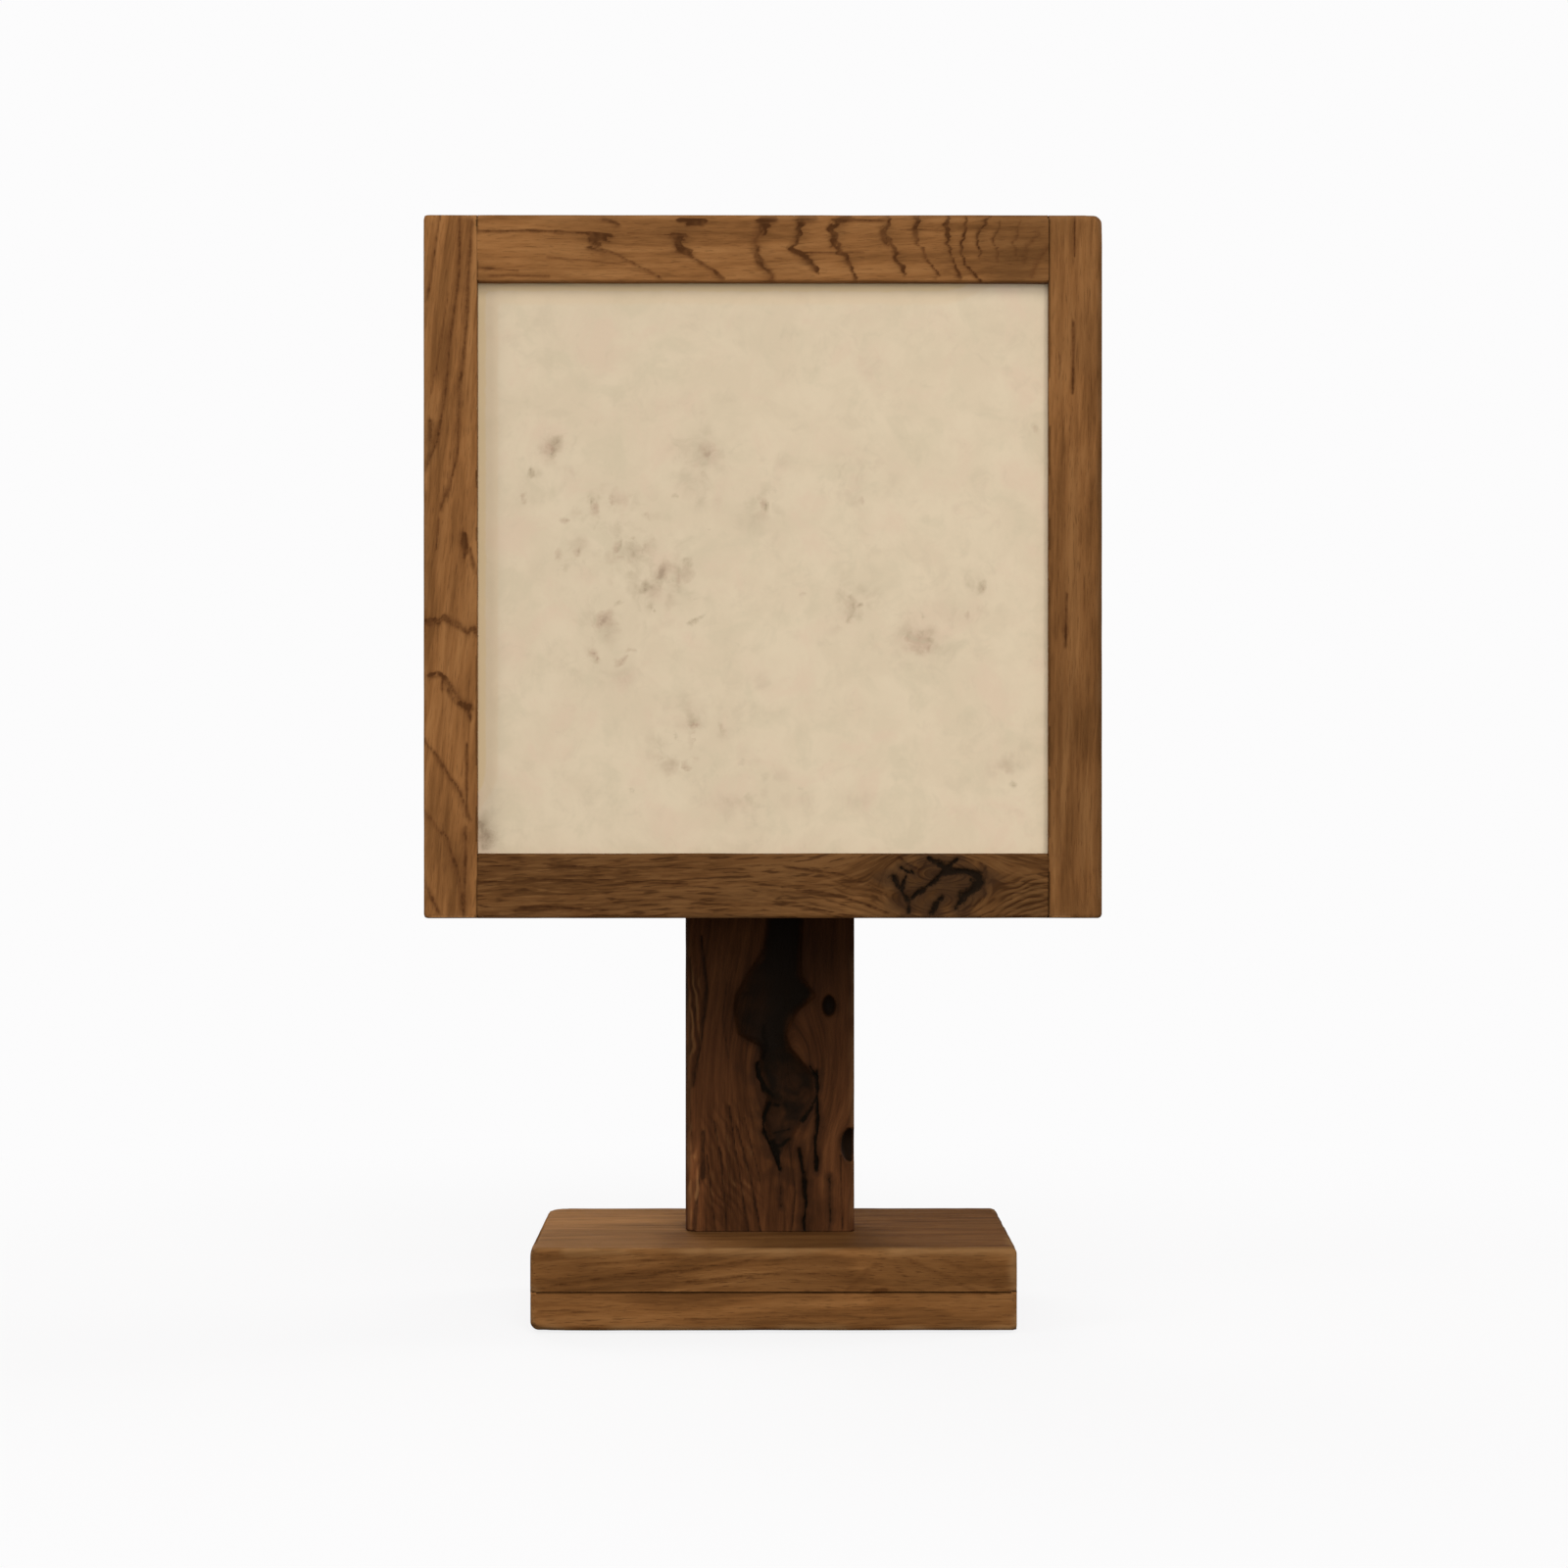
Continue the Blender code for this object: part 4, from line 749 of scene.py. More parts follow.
def squared(places, node, reach, shortest):
    # the even copy is blunt along the solid's edges: points near one are set on it, so that joints close up
    shape = mergedCopy(node)
    edges = [edge for edge in shape.edges if len(edge.link_faces) == 2 and edge.calc_length() > shortest]
    edges = [edge for edge in edges if edge.calc_face_angle() > sharpAngle]
    edges = [[np.array(vert.co) for vert in edge.verts] for edge in edges]
    shape.free()
    nearest, target = np.full(len(places), reach), places.copy()
    for start, end in edges:
        low, high = np.minimum(start, end) - reach, np.maximum(start, end) + reach
        close = np.flatnonzero(((places > low) & (places < high)).all(axis=1))
        if not len(close):
            continue
        run, away = end - start, places[close] - start
        spot = start + np.clip(away @ run / (run @ run), 0, 1)[:, None] * run
        gap = np.linalg.norm(places[close] - spot, axis=1)
        better = gap < nearest[close]
        nearest[close[better]] = gap[better]
        target[close[better]] = spot[better]
    return target


flowValues = {
    "cell": 0.055, "cellAlong": 0.13,  # metres between the grain's bends
    "ripple": 0.3,                     # share of the smaller bends
    "knotDepth": 2.5,                  # how far into the board a knot bends the grain, in its sizes
    "knotLong": 0.35, "knotCore": 0.25,
    "shift": 0.37,                     # keeps the patterns of two boards apart
}


def grainFlow(places, middle, values, face):
    along, across, deep = alongAxes[values["along"]]
    local = places - middle
    seed, wander, lean, pith = values["seed"], values["wander"], values["lean"], values["pith"]
    slow = local / flowValues["cell"]
    slow[:, along] = local[:, along] / flowValues["cellAlong"]
    ripple = flowValues["ripple"] * wander * latticeNoise(slow * 3, seed + 1)
    side = local[:, across] + wander * latticeNoise(slow, seed) + ripple
    depth = local[:, deep] + wander * latticeNoise(slow, seed + 2)
    for x, y, size in values["knots"]:
        # the grain swerves round a knot as water does round a pier
        gap = places[:, [0, 2]] - onFace([(x, y)], face)[0]
        size = size * pixel
        run, off = (gap[:, 0], gap[:, 1]) if along == 0 else (gap[:, 1], gap[:, 0])
        fade = np.exp(-((places[:, 1] - face) / (flowValues["knotDepth"] * size)) ** 2)
        round2 = run * run * flowValues["knotLong"] + off * off + flowValues["knotCore"] * size * size
        side -= fade * size * size * off / round2
    side = side - pith[0] - lean[0] * local[:, along]
    depth = depth - pith[1] - lean[1] * local[:, along]
    return np.stack([local[:, along] + seed * flowValues["shift"], side, depth], axis=1)


def rounded(places, low, high, radius):
    # rounds the edges and corners of the box that the places lie in, by a radius that may change along it
    low, high = np.array(low), np.array(high)
    middle, half = (low + high) / 2, (high - low) / 2
    offset = places - middle
    inset = half - np.abs(offset)
    reach = np.maximum(radius[:, None] - inset, 0)
    length = np.linalg.norm(reach, axis=1)
    pull = np.where(length > radius, radius / np.maximum(length, 1e-9), 1.0)
    inset = np.where(reach > 0, radius[:, None] - reach * pull[:, None], inset)
    return middle + np.sign(offset) * (half - inset)


def edgeInset(places, low, high):
    low, high = np.array(low), np.array(high)
    inset = (high - low) / 2 - np.abs(places - (low + high) / 2)
    return np.sort(inset, axis=1)[:, 1]


markValues = {
    "skin": 0.0006,         # metres behind the face that still count as the face
    "fibre": (0.0026, 0.014, 0.02),  # metres between the jags: across the grain, along it, into the depth
    "fineJag": (0.6, 2.1),  # share of the smaller jags, and how many of them go to a larger one
    "swell": (0.45, 0.011),  # how much the figure's width changes, and over how many metres
    "gape": (0.75, 0.008),  # the same for the cracks
    "gapeLimits": (0.3, 1.9),
    "astray": 0.006,        # metres between a crack's bends
    "uneven": (0.10, 0.07),  # how much the tone changes, and over how many metres
    "ridgeSway": (0.5, 0.012),
    "wearSize": 0.022, "wornSway": (0.002, 0.012), "wornSize": 0.020, "wornFrom": (-0.35, 0.45),
    "lopsided": 2.2,        # how much faster the figure fades on one side
    "figureFade": 110,      # half widths that the figure loses for each metre behind the face
    "figureLimit": 0.020, "crackLimit": 0.0105,  # no mark shows further behind the face
    "patchFade": 0.006,     # metres over which patches and ridges fade behind the face
    "ringless": 0.001,      # metres behind the face where all the rings show again
    "crackReach": 0.012,    # cracks are cut no further behind the face
    "crackDepth": 0.0022,
    "dent": 0.00012, "dentSize": 0.030,  # how uneven the faces are
    "clipReach": 0.008, "leastRound": 0.0006,
}


def boardMarks(places, behind, values, face):
    # how far each point is from the drawn figure and cracks, in their half widths
    seed, flat = values["seed"], places[:, [0, 2]]
    # fibres carry the figure to and fro along the grain
    across = 1 if values["along"] == "x" else 0
    cells = places[:, [0, 2, 1]]
    for axis, size in zip((across, 1 - across, 2), markValues["fibre"]):
        cells[:, axis] /= size
    jagged = flat.copy()
    share, finer = markValues["fineJag"]
    sway = latticeNoise(cells, seed + 11) + share * latticeNoise(cells * finer, seed + 12)
    jagged[:, 1 - across] += values["jag"] * sway
    share, size = markValues["swell"]
    swell = 1 + share * layeredNoise(places, size, seed + 13, 2)
    figure = nearestLine(jagged, values["lines"], face, swell, markValues["lopsided"])
    figure += behind * markValues["figureFade"]
    astray = [layeredNoise(places, markValues["astray"], seed + step, 3) for step in (14, 15)]
    ragged = flat + values["ragged"] * np.stack(astray, axis=1)
    share, size = markValues["gape"]
    gape = np.clip(1 + share * layeredNoise(places, size, seed + 19, 2), *markValues["gapeLimits"])
    crack = nearestLine(ragged, values["cracks"], face, gape) + behind * values["crackFade"]
    figure = np.where(behind < markValues["figureLimit"], figure, farOff)
    return figure, np.where(behind < markValues["crackLimit"], crack, farOff)


def boardTone(places, behind, values, face):
    share, size = markValues["uneven"]
    tone = values["tone"] * (1 + share * layeredNoise(places, size, values["seed"] + 5, 2))
    for x, y, wide, tall, change in values["patches"]:
        share = bell(spotGap(places, (x, y), (wide, tall), face))
        tone *= 1 + (change - 1) * share * np.exp(-behind / markValues["patchFade"])
    return tone


def boardRidges(places, behind, values, face):
    # the count of ridges from their centre, and how much they show
    ridge, ridged = np.zeros(len(places)), np.zeros(len(places))
    sway, size = markValues["ridgeSway"]
    for x, y, wide, tall, roundX, roundY, spacing, strength in values["ridges"]:
        gap = spotGap(places, (x, y), (wide, tall), face)
        share = strength * bell(gap ** 2) * np.exp(-behind / markValues["patchFade"])
        turns = np.linalg.norm(spotGap(places, (roundX, roundY), (spacing, spacing), face), axis=1)
        turns += sway * layeredNoise(places, size, values["seed"] + 16, 2)
        ridge = np.where(share > ridged, turns, ridge)
        ridged = np.maximum(ridged, share)
    return ridge, ridged


def boardWear(places, values, boxLow, boxHigh):
    # how round the edges are, and where they are rubbed pale
    seed, (plain, change) = values["seed"], values["wear"]
    radius = plain + change * layeredNoise(places, markValues["wearSize"], seed + 7, 2)
    for *corner, more in values["clips"]:
        away = np.linalg.norm(places - np.array(corner), axis=1)
        radius += more * np.exp(-away / markValues["clipReach"])
    sway, size = markValues["wornSway"]
    reach = values["wornReach"] + sway * latticeNoise(places / size, seed)
    worn = 1 - smoothStep(edgeInset(places, boxLow, boxHigh), markValues["leastRound"], reach)
    patchy = layeredNoise(places, markValues["wornSize"], seed + 18, 2)
    worn *= smoothStep(patchy, *markValues["wornFrom"])
    return np.maximum(radius, markValues["leastRound"]), worn


topValues = {
    "ends": (0.05, 0.07),       # metres from its two ends where the tone stops changing
    "stainWide": 0.016,         # how far the painted shadow of the post spreads beside it
    "stainFrom": (-0.008, 0.012),  # where the painted shadow sets in before the post
    # stain: how dark the painted shadow of the post is; pale: how much paler the painted light leaves the
    # first end
    "stain": 0.22, "pale": 0.55, "paleStained": 0.8,
}


def paintTopLight(places, normals, low, high, tones):
    # painted light on the base's top: its tone changes from one end to the other and it is paler at the
    # first end; a painted shadow of the post darkens the top before it
    first, last = tones
    share = smoothStep(places[:, 0], low[0] + topValues["ends"][0], high[0] - topValues["ends"][1])
    upward = smoothStep(normals[:, 2], 0.5, 0.9)
    footLow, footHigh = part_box("post")
    # the painted shadow of the post, on the top before it
    beside = np.maximum(np.maximum(footLow.x - places[:, 0], places[:, 0] - footHigh.x), 0)
    stain = np.exp(-(beside / topValues["stainWide"]) ** 2) * upward
    stain *= smoothStep(footLow.y - places[:, 1], *topValues["stainFrom"])
    change = 1 + (first + (last - first) * share - 1) * upward
    pale = topValues["pale"] * (1 - share) * upward
    return change * (1 - topValues["stain"] * stain), pale * (1 - topValues["paleStained"] * stain)


# painted shade: the hollow and pits in the post's front are painted dark, less so low down where they are
# lit
hollowValues = {
    "margin": 0.0012,            # metres kept off the post's sides
    "heights": (0.0500, 0.2332),
    "depths": (0.0004, 0.0105),  # how far behind the face the hollow lies
    "uncracked": 0.001,          # no crack is cut deeper inside it than this
    "deep": 0.0022,              # from here it is dark all through
    "cell": 0.001, "blurs": (3, 6), "lump": 0.009, "seed": 211,
    "lobe": (758, 1026), "lobeSize": (0.011, 0.019), "lobeShare": 0.42,  # a paler lobe: pixels, metres
    "lower": (0.165, 0.120),     # its lower part, between these heights, is less dark
    "pitsFrom": (838, 1100),     # the two small pits lie to the right of this pixel
    "pitDepths": (0.0008, 0.0030), "pitShare": 0.92,
    # a darker tone round the hollow, weaker low down
    "smoke": (0.05, 0.55), "smokeShare": 0.42, "smokeLower": 0.30,
}


def blurred(chart, turns):
    for turn in range(turns):
        for axis in (0, 1):
            chart = sum(np.roll(chart, step, axis) for step in range(-2, 3)) / 5
    return chart


def hollowOf(places, face):
    # the natural hollow and pits in the post's front: how deep each point lies, how dark the painted shade
    # makes them, and a darker tone round them that is weaker low down
    values = hollowValues
    low, high = (np.array(corner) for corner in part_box("post"))
    (lowest, highest), (shallow, deepest) = values["heights"], values["depths"]
    inside = np.minimum(places[:, 0] - low[0], high[0] - places[:, 0]) > values["margin"]
    inside &= (places[:, 2] > lowest) & (places[:, 2] < highest)
    depth = np.where(inside, places[:, 1] - face, 0)
    depth = np.where((depth > shallow) & (depth < deepest), depth, 0)
    # a map of the hollow in millimetre cells, blurred, so that its rim is soft
    cells = ((places - low) / values["cell"]).astype(int)
    size = ((high - low) / values["cell"]).astype(int) + 2
    chart = np.zeros((size[0], size[2]))
    deepCells = cells[depth > values["deep"]]
    chart[deepCells[:, 0], deepCells[:, 2]] = 1
    chart = blurred(chart, values["blurs"][0])
    smoke = blurred(chart, values["blurs"][1])
    lumps = layeredNoise(places, values["lump"], values["seed"], 3)
    atFront = places[:, 1] - face < deepest
    soft = chart[cells[:, 0], cells[:, 2]] * atFront
    pit = smoothStep(soft + 0.20 * lumps, 0.04, 0.84) * (soft > 0.01)
    lower = smoothStep(places[:, 2], *values["lower"])
    gap = (places[:, [0, 2]] - onFace([values["lobe"]], face)[0]) / np.array(values["lobeSize"])
    pit *= 1 - values["lobeShare"] * bell(gap) * np.clip(1 + lumps, 0.3, 1.6)
    pit *= 0.97 - lower * (0.06 + 0.34 * smoothStep(lumps, -0.25, 0.6))
    aside = places[:, 0] > onFace([values["pitsFrom"]], face)[0, 0]
    pit = np.maximum(pit, values["pitShare"] * smoothStep(depth, *values["pitDepths"]) * aside)
    haloed = smoothStep(smoke[cells[:, 0], cells[:, 2]], *values["smoke"]) * atFront
    return depth, pit, 1 - (values["smokeShare"] - values["smokeLower"] * lower) * haloed


def makeBoard(node, given, slot, whole, face):
    values = dict(boardDefaults, **given)
    made = denseCopy(node, values["voxel"])
    mesh = made.data
    places, normals = pointsOf(mesh), normalsOf(mesh)
    places = squared(places, node, values["squareReach"] * values["voxel"], values["square"])
    low, high = (np.array(corner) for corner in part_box(node))
    boxLow, boxHigh = wholeBoxes.get(whole, (low, high))
    behind = np.maximum(places[:, 1] - face - markValues["skin"], 0)
    flow = grainFlow(places, (low + high) / 2, values, face)
    figure, crack = boardMarks(places, behind, values, face)
    tone = boardTone(places, behind, values, face)
    ridge, ridged = boardRidges(places, behind, values, face)
    radius, worn = boardWear(places, values, boxLow, boxHigh)
    # painted light on the base's top, and a painted shadow of the post before it
    if "upTones" in values:
        change, pale = paintTopLight(places, normals, low, high, values["upTones"])
        tone, worn = tone * change, np.maximum(worn, pale)
    cut = (normals[:, 1] < -0.5) & (behind < markValues["crackReach"])
    if node == "post":
        # painted shade in the hollow and pits, and a darker tone round them
        depth, pit, shade = hollowOf(places, face)
        tone, cut = tone * shade, cut & (depth < hollowValues["uncracked"])
        writeValues(mesh, pit=pit)

    sink = markValues["dent"] * (1 + layeredNoise(places, markValues["dentSize"], values["seed"] + 9, 2))
    sink = np.clip(sink, 0, None) - values["grow"]
    sink += markValues["crackDepth"] * (1 - smoothStep(crack, 0.1, 1.1)) * cut
    movePoints(mesh, rounded(places - normals * sink[:, None], boxLow, boxHigh, radius))
    rings = values["rings"] * np.where(behind < markValues["ringless"], values["drawn"], 1.0)
    dashed = np.full(len(places), values["dashed"])
    writeValues(mesh, flow=flow, figure=figure, crack=crack, tone=tone, ridge=ridge, ridged=ridged,
                worn=worn, dashed=dashed, rings=rings)
    standFor(made, node, "lamp", woods[slot])


for node, values in frameBoards.items():
    makeBoard(node, values, "elm_frame", "lantern", frontFaces["lantern"])
print("lantern frame built")
for node, values in otherBoards.items():
    whole = "base" if node.startswith("base") else node
    makeBoard(node, values, otherSlots.get(node, "elm_base"), whole, frontFaces.get(whole, noFace))
print("post, base and carrier built")
for number, node in enumerate(sorted(name for name in cadNodes if name.startswith("bead_"))):
    low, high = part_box(node)
    size = high - low
    along = "xyz"[max(range(3), key=lambda axis: size[axis])]
    makeBoard(node, dict(beadBoard, along=along, seed=120 + 5 * number), "elm_bead", node, noFace)
print("beads built")

# parchment panels

panelValues = {
    "step": 0.003,       # metres between points
    "fineStep": 0.0017,  # and on the front, where single marks are drawn
    "cockle": 0.0005,    # how far the sheet swells between its edges
    "face": -0.0957,     # the y of the front panel's face
    "sideStretch": 1.6,  # the side panels are narrower, so their clusters are drawn in
    "clusterReach": 1.35, "frontClusters": 0.7,
    "cockleSize": 0.11, "cockleFade": (0.012, 0.07),  # metres: across a swelling, and in from the edges
    "tone": 0.942, "toneSlope": 0.062,   # paler towards one lower corner
    "clean": 0.10, "cleanReach": 0.008,  # painted light close under the front's top rail, lifting the rail's shade
    "pastedRight": (0.30, 0.46), "pastedLow": (0.34, 0.46),  # the painted shade of the frame's lip is hidden past these
    "pastedHidden": 0.02,
    "cloudScale": 36, "veinScale": 64, "smearScale": 70, "blurScale": 120, "cellScale": 95,
    "rootScale": 620, "astray": 0.015,
    "frayed": 0.0011, "frayedSize": 0.004,  # how far single marks stray from their lines
    "swollen": (1.45, 0.9), "swollenSize": 0.005, "swollenLimits": (0.7, 2.6),  # and how wide they get
    "colour": (0.640, 0.520, 0.362), "pale": (0.686, 0.565, 0.400), "green": (0.580, 0.486, 0.332),
    "rosy": (0.664, 0.502, 0.360), "spot": (0.405, 0.312, 0.202), "redSpot": (0.430, 0.295, 0.200),
    "speck": (0.240, 0.163, 0.100), "smudge": (0.500, 0.400, 0.272), "rosySmudge": (0.525, 0.388, 0.272),
    # rim and margin: colours of the painted shade of the frame's lip, the rim warmed by painted bounce off
    # the wood
    "rim": (0.640, 0.470, 0.235), "margin": (0.640, 0.482, 0.304),
    "rimReach": (0.0128, 0.0112), "marginReach": (0.0204, 0.0178),
    "clusters": [  # pixels, and their size: where the hair roots show
        (565, 460, 14), (545, 485, 10), (612, 515, 26), (640, 560, 34), (690, 590, 24), (620, 632, 18),
        (605, 675, 16), (665, 600, 26), (720, 465, 26), (780, 515, 16), (870, 620, 22), (935, 650, 22),
        (1000, 605, 18), (1030, 780, 18), (715, 740, 20), (740, 745, 14), (490, 850, 16), (880, 490, 22),
        (690, 770, 26), (760, 800, 30), (575, 570, 18),
    ],
    "flecks": [  # single roots: points in pixels, half width in pixels, faintness
        ([(566, 452), (565, 464)], 3.6, 0.3), ([(541, 479), (544, 486)], 1.8, 0.2),
        ([(535, 506), (535, 513)], 1.7, 0.5), ([(602, 507), (609, 522)], 2.0, 0.3),
        ([(624, 506), (623, 519)], 2.4, 0.8), ([(572, 532), (579, 531)], 2.4, 0.5),
        ([(633, 554), (630, 563)], 2.4, 0.3), ([(632, 570), (637, 570)], 1.8, 0.6),
        ([(589, 562), (590, 566)], 1.8, 0.4), ([(569, 564), (570, 569)], 2.4, 0.6),
        ([(677, 580), (675, 590)], 3.4, 0.0), ([(692, 581), (692, 593)], 3.8, 0.6),
        ([(698, 570), (703, 578)], 2.8, 0.5), ([(660, 594), (657, 604)], 2.0, 0.2),
        ([(628, 615), (634, 615)], 1.7, 0.5), ([(663, 619), (668, 623)], 1.7, 0.4),
        ([(611, 636), (620, 630)], 3.6, 0.0), ([(703, 637), (710, 633), (717, 628)], 1.7, 0.3),
        ([(606, 667), (610, 674)], 2.0, 0.1), ([(631, 679), (638, 671)], 2.2, 0.5),
        ([(640, 663), (649, 664)], 1.8, 0.8), ([(782, 515), (782, 519)], 2.4, 0.2),
        ([(869, 608), (870, 626), (865, 633)], 2.4, 0.5), ([(876, 617), (877, 618)], 1.8, 0.0),
        ([(939, 645), (940, 650)], 3.0, 0.5), ([(948, 652), (952, 657)], 2.6, 0.5),
        ([(933, 663), (938, 664)], 2.8, 0.4), ([(948, 660), (948, 664)], 2.2, 0.4),
        ([(927, 646), (927, 654)], 2.6, 0.8), ([(1001, 598), (1002, 601)], 2.2, 0.2),
        ([(941, 629), (942, 631)], 1.6, 0.6), ([(987, 626), (988, 630)], 1.8, 0.8),
        ([(819, 606), (824, 608)], 1.5, 0.7), ([(703, 740), (710, 738)], 2.8, 0.3),
        ([(736, 741), (738, 749)], 2.2, 0.3), ([(690, 750), (691, 753)], 2.0, 0.4),
        ([(699, 782), (702, 784)], 2.2, 0.3), ([(1034, 802), (1038, 802)], 2.2, 0.4),
        ([(643, 805), (645, 807)], 1.8, 0.5), ([(880, 509), (880, 512)], 1.8, 0.7),
        ([(489, 838), (496, 853)], 5.0, 0.0), ([(492, 862), (495, 866)], 3.4, 0.3),
        ([(1055, 436), (1058, 440)], 2.2, 0.7), ([(815, 804), (822, 808)], 1.7, 0.8),
        ([(657, 556), (659, 563)], 1.8, 0.7), ([(646, 549), (648, 556)], 1.8, 0.9),
        ([(686, 505), (691, 506)], 1.6, 0.8), ([(659, 525), (662, 528)], 1.6, 0.8),
        ([(724, 540), (727, 543)], 1.6, 0.9), ([(718, 482), (720, 486)], 1.6, 0.9),
    ],
    "smears": [  # soft stains: pixels, half sizes in pixels, strength
        (718, 464, 16, 18, 0.6), (702, 490, 10, 12, 0.5), (562, 458, 12, 10, 0.7), (580, 480, 9, 7, 0.4),
        (640, 563, 12, 9, 0.5), (668, 604, 8, 9, 0.45), (689, 602, 10, 8, 0.4), (620, 644, 11, 8, 0.5),
        (770, 532, 16, 12, 0.45), (875, 492, 8, 17, 0.5), (801, 471, 9, 8, 0.3), (868, 622, 12, 13, 0.5),
        (939, 655, 20, 15, 0.8), (1001, 600, 9, 8, 0.4), (707, 738, 12, 8, 0.5), (742, 748, 12, 7, 0.5),
        (1028, 780, 20, 6, 0.6), (874, 817, 18, 10, 0.4), (740, 818, 20, 12, 0.35),
        (818, 815, 12, 12, 0.35), (635, 692, 12, 12, 0.5), (776, 695, 12, 10, 0.3),
        (590, 556, 10, 9, 0.4), (692, 588, 14, 14, 0.4), (493, 850, 8, 14, 0.7), (538, 505, 14, 14, 0.3),
        (888, 373, 16, 14, 0.25), (701, 720, 8, 9, 0.35), (960, 625, 26, 14, 0.3), (595, 635, 8, 8, 0.35),
        (714, 514, 7, 8, 0.45), (733, 515, 6, 9, 0.35),
    ],
}


def parchmentMaterial():
    made = newMaterial("parchment")
    values, place = panelValues, objectPlace()
    shifts = ((3.1, 0.4, 7.7), (1.3, 5.0, 2.1), (8.2, 1.1, 4.4))  # keep the patterns apart
    aside = [stretched(place, (1, 1, 1), shift) for shift in shifts]
    cloud = grainNoise(place, values["cloudScale"], 5, 0.62, 0.4)
    patch = grainNoise(aside[0], values["cloudScale"], 4, 0.62, 0.5)
    vein = grainNoise(aside[1], values["veinScale"], 4, 0.65, 1.2)
    smear = grainNoise(aside[2], values["smearScale"], 4, 0.65, 0.6)

    # clusters of roots: spots and specks in wandering cells, on smudged ground
    sockets = {"Vector": place, "Scale": values["blurScale"], "Detail": 3}
    blur = addNode("TexNoise", sockets).outputs["Color"]
    sockets = {0: blur, 1: (values["astray"],) * 3, 2: place}
    astray = addNode("VectorMath", sockets, operation="MULTIPLY_ADD").outputs[0]
    cells = addNode("TexVoronoi", {"Vector": astray, "Scale": values["cellScale"]}, feature="F1").outputs
    chance, other = addNode("SeparateColor", {0: cells["Color"]}).outputs[:2]
    clusters = pointValue("cluster")
    kept = times(clusters, spread(chance, 0.10, 0.70))
    spots = times(spread(cells["Distance"], 0.62, 0.06), kept)
    specks = times(spread(cells["Distance"], 0.26, 0.02), spread(kept, 0.4, 0.95))
    smudges = times(spread(smear, 0.52, 0.72), timesPlus(clusters, 0.40, 0.22))
    stain = times(pointValue("smear"), spread(smear, 0.34, 0.62, 0.35, 1.25))
    stainColour = tint(spread(patch, 0.54, 0.44), values["smudge"], values["rosySmudge"])
    spotColour = tint(spread(other, 0.55, 0.75), values["spot"], values["redSpot"])
    # single roots on the front, ragged and dark in the middle
    root = strayed(pointValue("fleck"), grainNoise(place, values["rootScale"], 3, 0.65), 1.5)
    # painted shade of the frame's lip along the sheet's edge, with a warm painted bounce from the wood at
    # its rim
    inset = strayed(pointValue("inset"), vein, 0.0030)

    colour = layered(values["colour"], [
        (spread(cloud, 0.35, 0.68), 1, values["pale"]),
        (spread(patch, 0.50, 0.68), 0.48, values["green"]),
        (spread(patch, 0.50, 0.30), 0.55, values["rosy"]),
        (spread(vein, 0.58, 0.72), 0.30, values["pale"]),
        (clusters, 0.18, values["green"]),
        (smudges, 1, values["smudge"]),
        (stain, 1, stainColour),
        (spots, 0.66, spotColour),
        (specks, 0.42, values["speck"]),
        (spread(root, 2.0, 0.2), 0.62, spotColour),
        (spread(root, 0.8, -0.2), 0.50, values["speck"]),
        (spread(inset, *values["marginReach"]), 0.42, values["margin"]),
        (spread(inset, *values["rimReach"]), 0.50, values["rim"]),
    ])
    height = timesPlus(specks, -0.4, timesPlus(vein, 0.6, times(cloud, 0.8)))
    shadeWith({"Base Color": toned(colour), "Roughness": spread(cloud, 0.3, 0.7, 0.52, 0.66),
               "Specular IOR Level": 0.2, "Normal": bumpOf(height, 0.25, 0.0006)})
    return made


def makeSheet(node, thin, wide, step):
    low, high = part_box(node)
    size, middle = high - low, (low + high) / 2
    steps = [max(8, round(size[axis] / step)) for axis in (wide, 2)]
    shape = bmesh.new()
    bmesh.ops.create_grid(shape, x_segments=steps[0], y_segments=steps[1], size=0.5)
    bmesh.ops.scale(shape, vec=(size[wide], size[2], 1), verts=shape.verts)
    turn = Matrix.Rotation(math.pi / 2, 4, "X")
    if wide == 1:
        turn = Matrix.Rotation(math.pi / 2, 4, "Z") @ turn
    bmesh.ops.transform(shape, matrix=Matrix.Translation(middle) @ turn, verts=shape.verts)
    bmesh.ops.recalc_face_normals(shape, faces=shape.faces)
    bmesh.ops.solidify(shape, geom=shape.faces[:], thickness=size[thin])
    bmesh.ops.recalc_face_normals(shape, faces=shape.faces)
    off = middle[thin] - sum(vert.co[thin] for vert in shape.verts) / len(shape.verts)
    bmesh.ops.translate(shape, vec=[off if axis == thin else 0 for axis in range(3)], verts=shape.verts)
    return pieceFrom(shape, pieceName(node))


def frontMarks(places):
    # how far each point is from the single roots, in their half widths, and how stained it is
    face, stain = panelValues["face"], np.zeros(len(places))
    astray = [layeredNoise(places, panelValues["frayedSize"], seed, 2) for seed in (311, 312)]
    frayed = places[:, [0, 2]] + panelValues["frayed"] * np.stack(astray, axis=1)
    plain, change = panelValues["swollen"]
    swollen = plain + change * layeredNoise(places, panelValues["swollenSize"], 313, 2)
    swollen = np.clip(swollen, *panelValues["swollenLimits"])
    for x, y, wide, tall, strength in panelValues["smears"]:
        stain = np.maximum(stain, strength * bell(spotGap(places, (x, y), (wide, tall), face)))
    return nearestLine(frayed, panelValues["flecks"], face, swollen), stain


